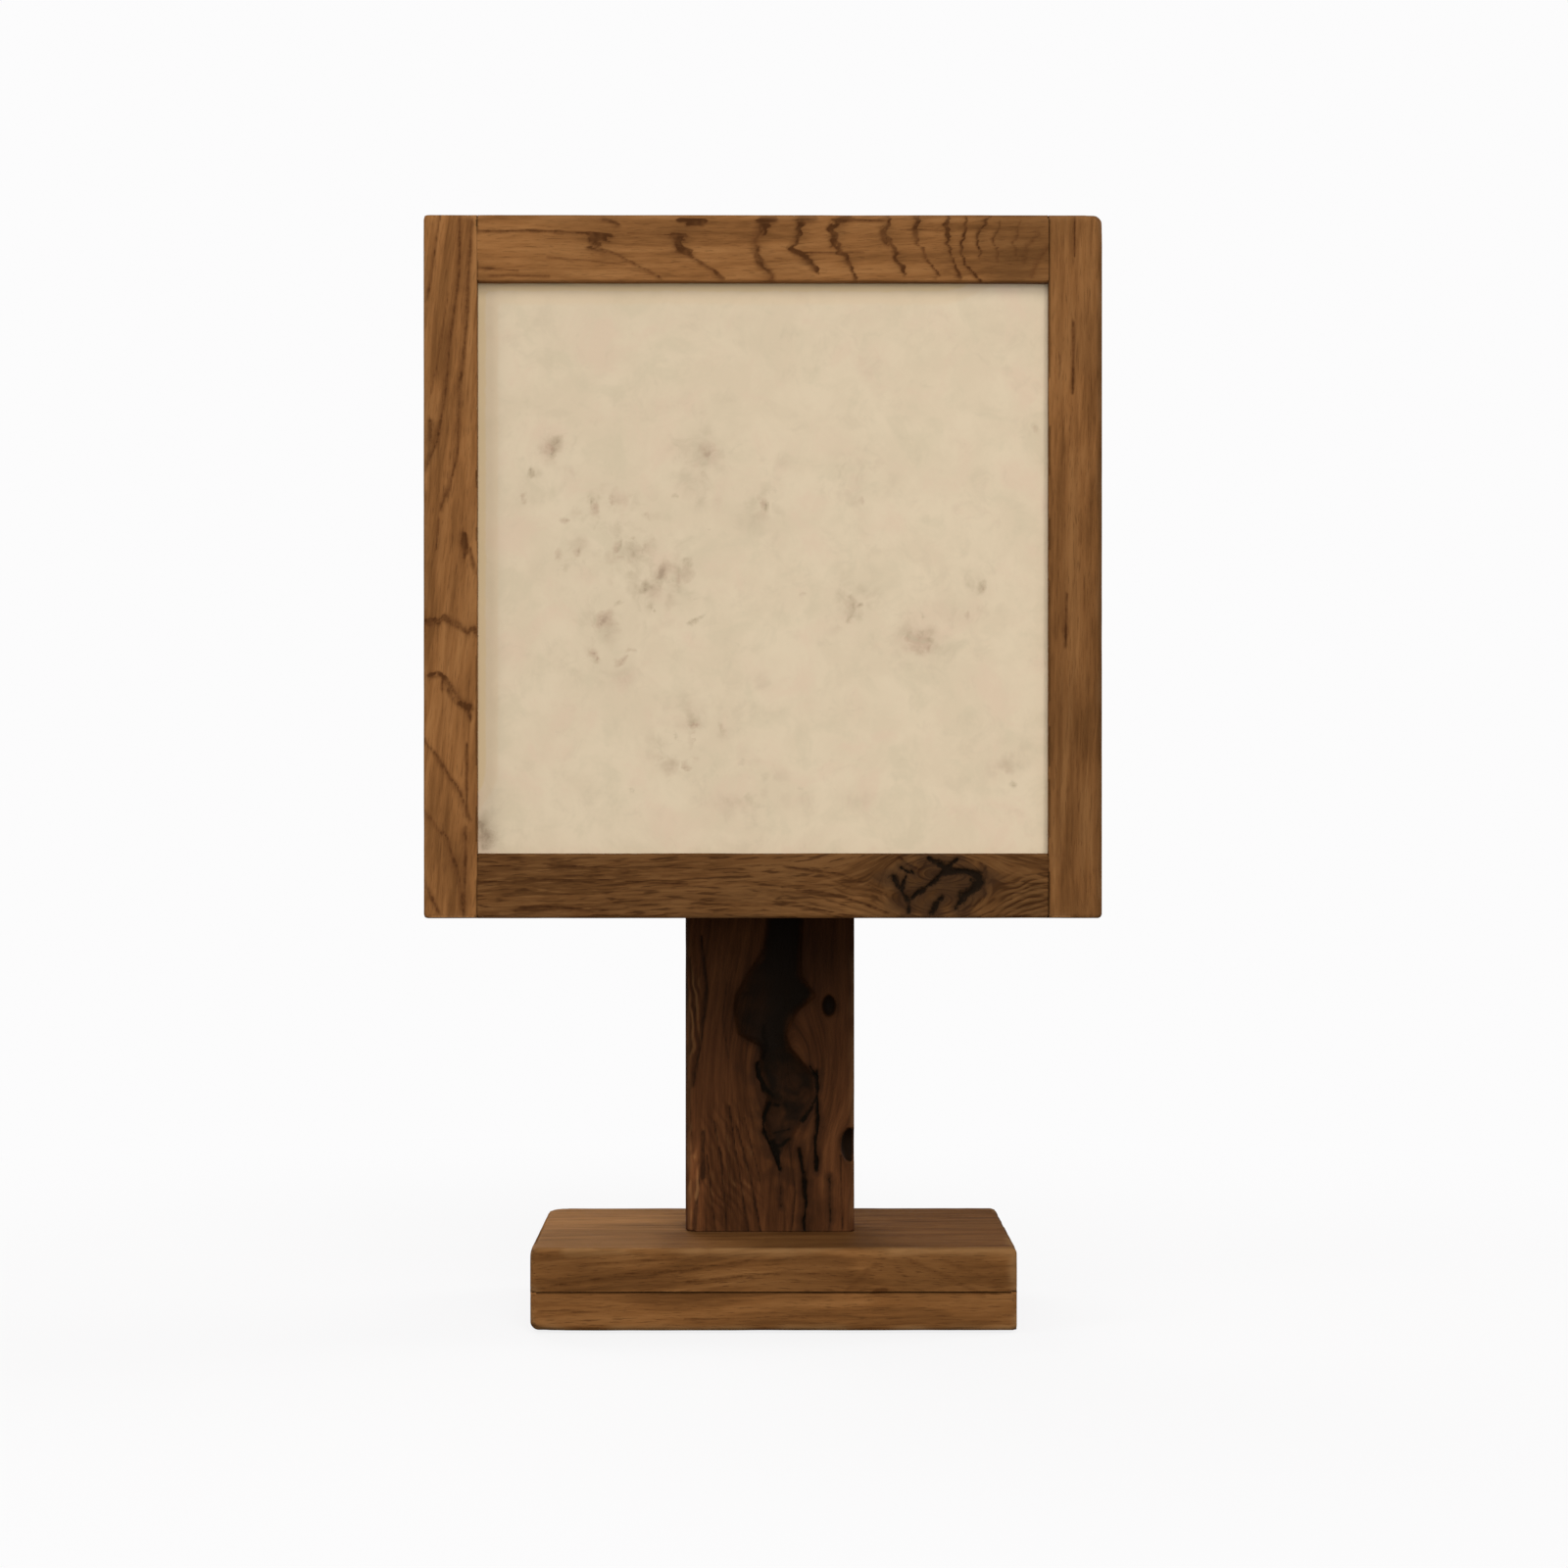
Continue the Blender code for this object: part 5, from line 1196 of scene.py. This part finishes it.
def makePanel(node, material):
    low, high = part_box(node)
    size, middle = high - low, (low + high) / 2
    thin = min(range(3), key=lambda axis: size[axis])
    wide = 1 - thin
    front = node == "panel_front"
    made = makeSheet(node, thin, wide, panelValues["fineStep" if front else "step"])
    places = pointsOf(made.data)
    beside, under = np.abs(places[:, wide] - middle[wide]), np.abs(places[:, 2] - middle[2])
    inset = np.minimum(size[wide] / 2 - beside, size[2] / 2 - under)
    swell = panelValues["cockle"] * smoothStep(inset, *panelValues["cockleFade"])
    swell *= layeredNoise(places, panelValues["cockleSize"], 301 + thin, 2)
    cluster = np.zeros(len(places))
    seen = places.copy()
    if thin == 0:
        seen[:, 0] = places[:, 1] * panelValues["sideStretch"]
    for x, y, reach in panelValues["clusters"]:
        reach *= panelValues["clusterReach"]
        cluster = np.maximum(cluster, bell(spotGap(seen, (x, y), (reach, reach), panelValues["face"])))
    fleck, stain = np.full(len(places), farOff), np.zeros(len(places))
    right, up = (places[:, wide] - middle[wide]) / size[wide], (places[:, 2] - middle[2]) / size[2]
    tone = panelValues["tone"] + panelValues["toneSlope"] * (right - up)
    if front:
        cluster *= panelValues["frontClusters"]
        fleck, stain = frontMarks(places)
        # painted light close under the top rail, against the rail's shade
        reach = panelValues["cleanReach"]
        tone += panelValues["clean"] * np.exp(-((high.z - reach - places[:, 2]) / reach) ** 2)
    # the painted shade of the lip shows along the top and the left side
    hidden = smoothStep(right, *panelValues["pastedRight"])
    hidden = np.maximum(hidden, smoothStep(-up, *panelValues["pastedLow"]))
    inset += panelValues["pastedHidden"] * hidden
    places[:, thin] += swell
    movePoints(made.data, places)
    writeValues(made.data, cluster=cluster, fleck=fleck, smear=stain, inset=inset, tone=tone)
    standFor(made, node, "lamp", material)


parchment = parchmentMaterial()
for node in ("panel_front", "panel_right", "panel_back", "panel_left"):
    makePanel(node, parchment)
print("panels built")

# small fittings: turned from a line of (radius, height), edges eased, threads or ribs pushed in afterwards


def fittingMaterial(name, look):
    made = newMaterial(name)
    place = objectPlace()
    marks = grainNoise(stretched(place, look["stretch"]), 1, 3, 0.6, look.get("warp", 0.0))
    cloud = grainNoise(place, look["cloud"], 3, 0.6, 0.3)
    colour = tint(spread(marks, 0.32, 0.68), look["colour"], look["second"])
    colour = layered(colour, [(spread(cloud, 0.48, 0.72), look["grimeShare"], look["grime"])])
    metal = look.get("metal", 0.0)
    if "cone" in look:
        # the cap's black glass foot
        foot = pointValue("foot")
        colour = tint(foot, colour, look["cone"])
        metal = calc("SUBTRACT", 1.0, foot)
    rough = timesPlus(marks, 0.10, spread(cloud, 0.35, 0.7, *look["rough"]))
    height = timesPlus(marks, 0.7, times(cloud, 0.3))
    shadeWith({"Base Color": colour, "Roughness": rough, "Metallic": metal,
               "Specular IOR Level": look.get("gloss", 0.5), "Coat Weight": look.get("coat", 0.0),
               "Sheen Weight": look.get("sheen", 0.0), "Normal": bumpOf(height, look["bump"], 0.0003)})
    return made


fittingLooks = {
    "brass": {
        "colour": (0.46, 0.31, 0.115), "second": (0.62, 0.44, 0.18), "grime": (0.16, 0.10, 0.04),
        "grimeShare": 0.55, "stretch": (120, 120, 1400), "cloud": 160, "rough": (0.26, 0.46),
        "metal": 1.0, "bump": 0.12,
    },
    "screw_steel": {
        "colour": (0.34, 0.32, 0.30), "second": (0.48, 0.46, 0.43), "grime": (0.13, 0.09, 0.06),
        "grimeShare": 0.5, "stretch": (900, 900, 900), "cloud": 300, "rough": (0.34, 0.55), "metal": 1.0,
        "bump": 0.2,
    },
    "bulb_nickel": {
        "colour": (0.54, 0.52, 0.48), "second": (0.68, 0.66, 0.62), "grime": (0.30, 0.27, 0.22),
        "grimeShare": 0.4, "stretch": (90, 90, 1100), "cloud": 220, "rough": (0.22, 0.40), "bump": 0.1,
        "cone": (0.012, 0.011, 0.012),
    },
    "holder_black": {
        "colour": (0.016, 0.0145, 0.0135), "second": (0.026, 0.023, 0.021),
        "grime": (0.060, 0.052, 0.042), "grimeShare": 0.35, "stretch": (800, 800, 800), "cloud": 70,
        "rough": (0.24, 0.42), "metal": 0.0, "bump": 0.1, "gloss": 0.45,
    },
    "insulator_ceramic": {
        "colour": (0.74, 0.715, 0.65), "second": (0.80, 0.78, 0.72), "grime": (0.60, 0.55, 0.45),
        "grimeShare": 0.4, "stretch": (260, 260, 260), "cloud": 110, "rough": (0.22, 0.38), "metal": 0.0,
        "bump": 0.08, "coat": 0.3,
    },
    "bulb_opal": {
        "colour": (0.82, 0.80, 0.75), "second": (0.88, 0.865, 0.82), "grime": (0.76, 0.72, 0.63),
        "grimeShare": 0.35, "stretch": (60, 60, 30), "cloud": 45, "rough": (0.20, 0.32), "metal": 0.0,
        "bump": 0.04, "coat": 0.2,
    },
    "felt": {
        "colour": (0.016, 0.0145, 0.013), "second": (0.034, 0.030, 0.026), "grime": (0.055, 0.048, 0.040),
        "grimeShare": 0.5, "stretch": (1800, 1800, 900), "warp": 2.0, "cloud": 240, "rough": (0.88, 0.96),
        "metal": 0.0, "bump": 0.9, "gloss": 0.1, "sheen": 0.25,
    },
    "lead_sheath": {
        "colour": (0.024, 0.022, 0.021), "second": (0.034, 0.031, 0.029), "grime": (0.07, 0.06, 0.05),
        "grimeShare": 0.3, "stretch": (500, 500, 60), "cloud": 120, "rough": (0.42, 0.58), "metal": 0.0,
        "bump": 0.15,
    },
}
fittings = {name: fittingMaterial(name, look) for name, look in fittingLooks.items()}


def easedLine(line, radius, closed=False):
    # each corner of the line becomes a short curve
    count = len(line)
    points = [Vector(point) for point in line]
    eased = []
    for i, point in enumerate(points):
        if not closed and i in (0, count - 1):
            eased.append(tuple(point))
            continue
        before, after = points[i - 1] - point, points[(i + 1) % count] - point
        cut = min(radius, 0.45 * before.length, 0.45 * after.length)
        start, end = point + before.normalized() * cut, point + after.normalized() * cut
        for share in (0, 0.33, 0.67, 1):
            rest = 1 - share
            eased.append(tuple(start * rest ** 2 + point * 2 * share * rest + end * share ** 2))
    return eased


def fineLine(line, step, closed=False):
    ends = line[1:] + line[:1] if closed else line[1:]
    fine = []
    for start, end in zip(line, ends):
        start, end = Vector(start), Vector(end)
        parts = max(1, math.ceil((end - start).length / step))
        fine += [tuple(start.lerp(end, part / parts)) for part in range(parts)]
    return fine if closed else fine + [line[-1]]


def turned(name, line, steps, closed=False):
    shape = bmesh.new()
    points = [shape.verts.new((radius, 0, height)) for radius, height in line]
    edges = [shape.edges.new(pair) for pair in zip(points, points[1:])]
    if closed:
        edges.append(shape.edges.new((points[-1], points[0])))
    bmesh.ops.spin(shape, geom=points + edges, cent=(0, 0, 0), axis=(0, 0, 1), dvec=(0, 0, 0),
                   angle=math.tau, steps=steps, use_merge=True, use_duplicate=False)
    bmesh.ops.remove_doubles(shape, verts=shape.verts, dist=1e-7)
    bmesh.ops.recalc_face_normals(shape, faces=shape.faces)
    return pieceFrom(shape, name)


def aroundAxis(places):
    return np.hypot(places[:, 0], places[:, 1]), np.arctan2(places[:, 1], places[:, 0])


def pushIn(mesh, places, reach, depth):
    places[:, :2] *= (1 - depth / np.maximum(reach, 1e-6))[:, None]
    movePoints(mesh, places)


def cutThread(mesh, outer, low, high, pitch, depth):
    # a helical groove in the surface at the outer radius, running out at both ends
    places = pointsOf(mesh)
    reach, angle = aroundAxis(places)
    wave = 0.5 - 0.5 * np.cos(math.tau * (places[:, 2] / pitch - angle / math.tau))
    ends = smoothStep(places[:, 2], low, low + pitch) * (1 - smoothStep(places[:, 2], high - pitch, high))
    pushIn(mesh, places, reach, np.where(reach > outer - 1e-5, depth * wave * ends, 0))


def cutRibs(mesh, outer, count, depth):
    places = pointsOf(mesh)
    reach, angle = aroundAxis(places)
    wave = 0.5 - 0.5 * np.cos(count * angle)
    pushIn(mesh, places, reach, np.where(reach > outer - 2e-4, depth * np.sqrt(wave), 0))


def setFitting(made, node, slot, place, turn=None, body="lamp"):
    made.data.transform(Matrix.Translation(place) @ (turn or Matrix.Identity(4)))
    made.data.update()
    standFor(made, node, body, fittings[slot])


def creased(made, degrees=35):
    # keeps true corners crisp under smooth shading
    made.data.set_sharp_from_angle(angle=math.radians(degrees))


def overMiddle(low, high, height):
    return Vector(((low.x + high.x) / 2, (low.y + high.y) / 2, height))


rodLow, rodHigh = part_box("lamp_rod")
axisPlace = overMiddle(rodLow, rodHigh, 0)

bulbValues = {
    "globe": 0.030, "neck": 0.01175, "wall": 0.0012, "length": 0.105, "capLength": 0.027, "grip": 0.006,
    "straight": 0.005,
    "join": 28,  # degrees below the globe's widest line
    "neckSteps": 24, "globeSteps": 28, "turnSteps": 72,
    "capRadius": 0.01325, "cup": 0.01205, "cupFloor": 0.0062, "ease": 0.0006, "fineStep": 0.0004,
    "footLength": 0.005, "button": 0.005, "buttonHeight": 0.001, "flare": (0.0022, 0.0026),
    "threadPitch": 0.00362, "threadDepth": 0.0009,
    "threadEnds": (0.001, 0.003),  # clear of the foot and of the rim
}


def glassLine(shrink):
    values = bulbValues
    neck, globe = values["neck"] - shrink, values["globe"] - shrink
    middle, join = values["length"] - values["globe"], math.radians(values["join"])
    start = Vector((neck, values["capLength"] + values["straight"]))
    end = Vector((globe * math.cos(join), middle - globe * math.sin(join)))
    pull = (end - start).length / 2
    first, second = start + Vector((0, pull)), end - Vector((math.sin(join), math.cos(join))) * pull
    line = [(neck, values["capLength"] - values["grip"])]
    for step in range(values["neckSteps"] + 1):
        share = step / values["neckSteps"]
        rest = 1 - share
        point = start * rest ** 3 + first * 3 * share * rest ** 2
        line.append(tuple(point + second * 3 * share ** 2 * rest + end * share ** 3))
    last = values["globeSteps"]
    for step in range(1, last + 1):
        angle = -join + (math.pi / 2 + join) * step / last
        line.append((globe * math.cos(angle) if step < last else 0, middle + globe * math.sin(angle)))
    return line


def makeBulb():
    values = bulbValues
    seat = axisPlace + Vector((0, 0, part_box("bulb_cap")[0].z))
    made = turned("bulbGlass", glassLine(values["wall"])[::-1] + glassLine(0), values["turnSteps"])
    creased(made)
    setFitting(made, "bulb_glass", "bulb_opal", seat, body="bulb")

    radius, cup, button = values["capRadius"], values["cup"], values["button"]
    foot, length, floor = values["footLength"], values["capLength"], values["cupFloor"]
    flare, flareHeight = values["flare"]
    line = [(0, floor), (cup, floor), (cup, length), (radius, length), (radius, foot),
            (button + flare, flareHeight), (button, values["buttonHeight"]), (button, 0), (0, 0)]
    line = fineLine(easedLine(line, values["ease"]), values["fineStep"])
    made = turned("bulbCap", line, values["turnSteps"])
    low, high = foot + values["threadEnds"][0], length - values["threadEnds"][1]
    cutThread(made.data, radius, low, high, values["threadPitch"], values["threadDepth"])
    places = pointsOf(made.data)
    onFoot = (places[:, 2] > 0.0009) & (places[:, 2] < foot + 0.0001)
    onFoot &= aroundAxis(places)[0] > button - 2e-4
    writeValues(made.data, foot=onFoot.astype(float))
    setFitting(made, "bulb_cap", "bulb_nickel", seat, body="bulb")


holderValues = {
    "outer": 0.01905, "bore": 0.01355, "collar": 0.02105, "collarDrop": 0.014, "collarHeight": 0.003,
    "grooveDrop": 0.006, "grooveHeight": 0.002, "grooveDepth": 0.0006,
    "threadPitch": 0.0026, "threadDepth": 0.0006, "threadEnds": (0.0006, 0.0004),
    "ringInner": 0.01935, "ringOuter": 0.02285, "ringEase": 0.0009, "ringRibs": 40, "ringRibDepth": 0.0007,
    "hole": 0.0052, "boss": 0.0082, "seat": 0.01665, "ledge": 0.0083, "inside": 0.01465, "shelf": 0.010,
    "capWall": 0.0024, "ease": 0.0007, "domeSteps": 12, "turnSteps": 72, "ringSteps": 240,
}


def makeHolderBody():
    values = holderValues
    low, high = (corner.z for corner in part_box("lampholder_body"))
    outer, collar, bore = values["outer"], values["collar"], values["bore"]
    collarTop = high - values["collarDrop"]
    collarLow = collarTop - values["collarHeight"]
    depth, top = values["grooveDepth"], collarLow - values["grooveDrop"]
    foot = top - values["grooveHeight"]
    groove = [(outer, top), (outer - depth, top - depth), (outer - depth, foot + depth), (outer, foot)]
    line = [(bore, high), (outer, high), (outer, collarTop), (collar, collarTop), (collar, collarLow),
            (outer, collarLow), *groove, (outer, low), (bore, low)]
    made = turned("lampholderBody", easedLine(line, values["ease"], True), values["turnSteps"], True)
    first, last = collarTop + values["threadEnds"][0], high - values["threadEnds"][1]
    cutThread(made.data, outer, first, last, values["threadPitch"], values["threadDepth"])
    creased(made)
    setFitting(made, "lampholder_body", "holder_black", axisPlace)


def makeHolderRing():
    values = holderValues
    low, high = (corner.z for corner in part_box("lampholder_ring"))
    inner, rim = values["ringInner"], values["ringOuter"]
    line = easedLine([(inner, low), (rim, low), (rim, high), (inner, high)], values["ringEase"], True)
    made = turned("lampholderRing", line, values["ringSteps"], True)
    cutRibs(made.data, rim, values["ringRibs"], values["ringRibDepth"])
    creased(made, 50)
    setFitting(made, "lampholder_ring", "holder_black", axisPlace)


def makeHolderCap():
    values = holderValues
    low, high = (corner.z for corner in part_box("lampholder_cap"))
    hole, boss, seat, inside = values["hole"], values["boss"], values["seat"], values["inside"]
    outer, wall, ledge = values["outer"], values["capWall"], high - values["ledge"]
    shelf, width = low + values["shelf"], values["outer"] - values["boss"]
    dome = []
    for step in range(values["domeSteps"] + 1):
        turn = math.pi / 2 * step / values["domeSteps"]
        dome.append((boss + width * math.sin(turn), shelf + width * (1 - math.cos(turn)) / 2))
    line = [(hole, low), (boss, low), *dome, (outer, high), (seat, high), (seat, ledge), (inside, ledge),
            (inside, dome[-1][1] + wall), (boss, shelf + wall), (hole, shelf + wall)]
    made = turned("lampholderCap", easedLine(line, values["ease"], True), values["turnSteps"], True)
    creased(made)
    setFitting(made, "lampholder_cap", "holder_black", axisPlace)


rodValues = {
    "bore": 0.0036, "ease": 0.0004, "fineStep": 0.00026, "pitch": 0.00125, "thread": 0.00045,
    "turnSteps": 40,
}


def makeRod():
    values = rodValues
    low, high, bore = rodLow.z, rodHigh.z, values["bore"]
    radius = (rodHigh.x - rodLow.x) / 2
    line = easedLine([(bore, low), (radius, low), (radius, high), (bore, high)], values["ease"], True)
    made = turned("lampRod", fineLine(line, values["fineStep"], True), values["turnSteps"], True)
    cutThread(made.data, radius, low, high, values["pitch"], values["thread"])
    setFitting(made, "lamp_rod", "brass", axisPlace)


screwValues = {
    "shank": 0.0021, "head": 0.004, "tip": 0.006, "pitch": 0.0019, "thread": 0.0005,
    "plain": 0.35,      # share of the length without a thread
    "slot": 0.00052, "slotReach": 0.0023, "slotDepth": 0.0016,
    "fineStep": 0.0004, "turnSteps": 48,
}


def makeScrew(node, turn):
    values = screwValues
    low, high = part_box(node)
    length, headUp = high.z - low.z, node.startswith("carrier")
    shank, head, tip = values["shank"], values["head"], values["tip"]
    face = [(0.0001 * step, 0) for step in range(1, 32, 2)]  # rings for the cross slot to sink
    side = [(head - 0.0002, 0), (head, 0.00015), (shank, head - shank + 0.0004), (shank, length - tip),
            (0, length)]
    line = [(0, 0)] + face + fineLine(side, values["fineStep"])
    made = turned(pieceName(node), line, values["turnSteps"])
    cutThread(made.data, shank, length * values["plain"], length - tip, values["pitch"], values["thread"])
    places = pointsOf(made.data)
    c, s = math.cos(turn), math.sin(turn)
    x, y = places[:, 0] * c - places[:, 1] * s, places[:, 0] * s + places[:, 1] * c
    reach = np.hypot(x, y) / values["slotReach"]
    arm = np.minimum(np.abs(x), np.abs(y))
    cross = (places[:, 2] < 1e-6) & (arm < values["slot"]) & (reach < 1)
    places[:, 2] += np.where(cross, values["slotDepth"] * (1 - 0.6 * reach), 0)
    movePoints(made.data, places)
    creased(made)
    over = Matrix.Rotation(math.pi, 4, "X") if headUp else None
    place = overMiddle(low, high, high.z if headUp else low.z)
    setFitting(made, node, "screw_steel", place, over)


padValues = {
    "count": 4, "ease": 0.0005, "fineStep": 0.0006, "fuzz": 0.018, "fuzzSize": 0.0016, "turnSteps": 56,
}


def makePad(number):
    values, node = padValues, f"felt_pad_{number}"
    low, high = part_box(node)
    radius, tall = (high.x - low.x) / 2, high.z - low.z
    line = easedLine([(0, 0), (radius, 0), (radius, tall), (0, tall)], values["ease"])
    made = turned(pieceName(node), fineLine(line, values["fineStep"]), values["turnSteps"])
    places = pointsOf(made.data)
    fuzz = 1 - values["fuzz"] * (1 + layeredNoise(places, values["fuzzSize"], 400 + number, 2))
    places[:, :2] *= np.where(aroundAxis(places)[0] > radius * 0.9, fuzz, 1)[:, None]
    movePoints(made.data, places)
    setFitting(made, node, "felt", overMiddle(low, high, low.z))


glandValues = {
    "bore": 0.0036, "barrel": 0.0060, "flange": 0.0080, "seat": 0.003, "length": 0.018, "ease": 0.001,
    "edge": 0.0004, "fineStep": 0.0004, "ribs": 28, "ribDepth": 0.00035, "turnSteps": 64,
}


def makeGland():
    values = glandValues
    bore, barrel, flange, ease = values["bore"], values["barrel"], values["flange"], values["ease"]
    seat, length = values["seat"], values["length"]
    low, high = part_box("cable_gland")
    line = [(bore + ease, 0), (flange - ease, 0), (flange, -ease), (flange, -seat), (barrel, -seat),
            (barrel, -length), (bore, -length), (bore, -ease)]
    line = fineLine(easedLine(line, values["edge"], True), values["fineStep"], True)
    made = turned("cableGland", line, values["turnSteps"], True)
    cutRibs(made.data, flange, values["ribs"], values["ribDepth"])
    creased(made)
    place = Vector(((low.x + high.x) / 2, high.y, (low.z + high.z) / 2))
    setFitting(made, "cable_gland", "brass", place, Matrix.Rotation(-math.pi / 2, 4, "X"))


easedFittings = {  # slot, and how far the edges are eased
    "rod_nut": ("brass", 0.0003),
    "lampholder_contact": ("brass", 0.00015),
    "lampholder_insulator": ("insulator_ceramic", 0.0004),
}


def makeEased(node, slot, width):
    # a merged copy of a flat-sided fitting with its edges eased
    shape = mergedCopy(node)
    bmesh.ops.dissolve_limit(shape, angle_limit=0.02, verts=shape.verts, edges=shape.edges)
    sharp = [edge for edge in shape.edges if edge.is_manifold and edge.calc_face_angle() > sharpAngle]
    bmesh.ops.bevel(shape, geom=sharp, offset=width, segments=2, profile=0.5, affect="EDGES", material=-1,
                    clamp_overlap=True)
    made = pieceFrom(shape, pieceName(node))
    creased(made, 30)
    setFitting(made, node, slot, Vector())


makeBulb()
makeHolderBody()
makeHolderRing()
makeHolderCap()
makeRod()
makeGland()
for number in range(1, padValues["count"] + 1):
    makePad(number)
for number, node in enumerate(sorted(name for name in cadNodes if "_screw_" in name)):
    makeScrew(node, 0.4 + 0.7 * number)
for node, (slot, width) in easedFittings.items():
    makeEased(node, slot, width)
cadNodes["inner_lead"].data.materials.clear()
cadNodes["inner_lead"].data.materials.append(fittings["lead_sheath"])
print("fittings built")
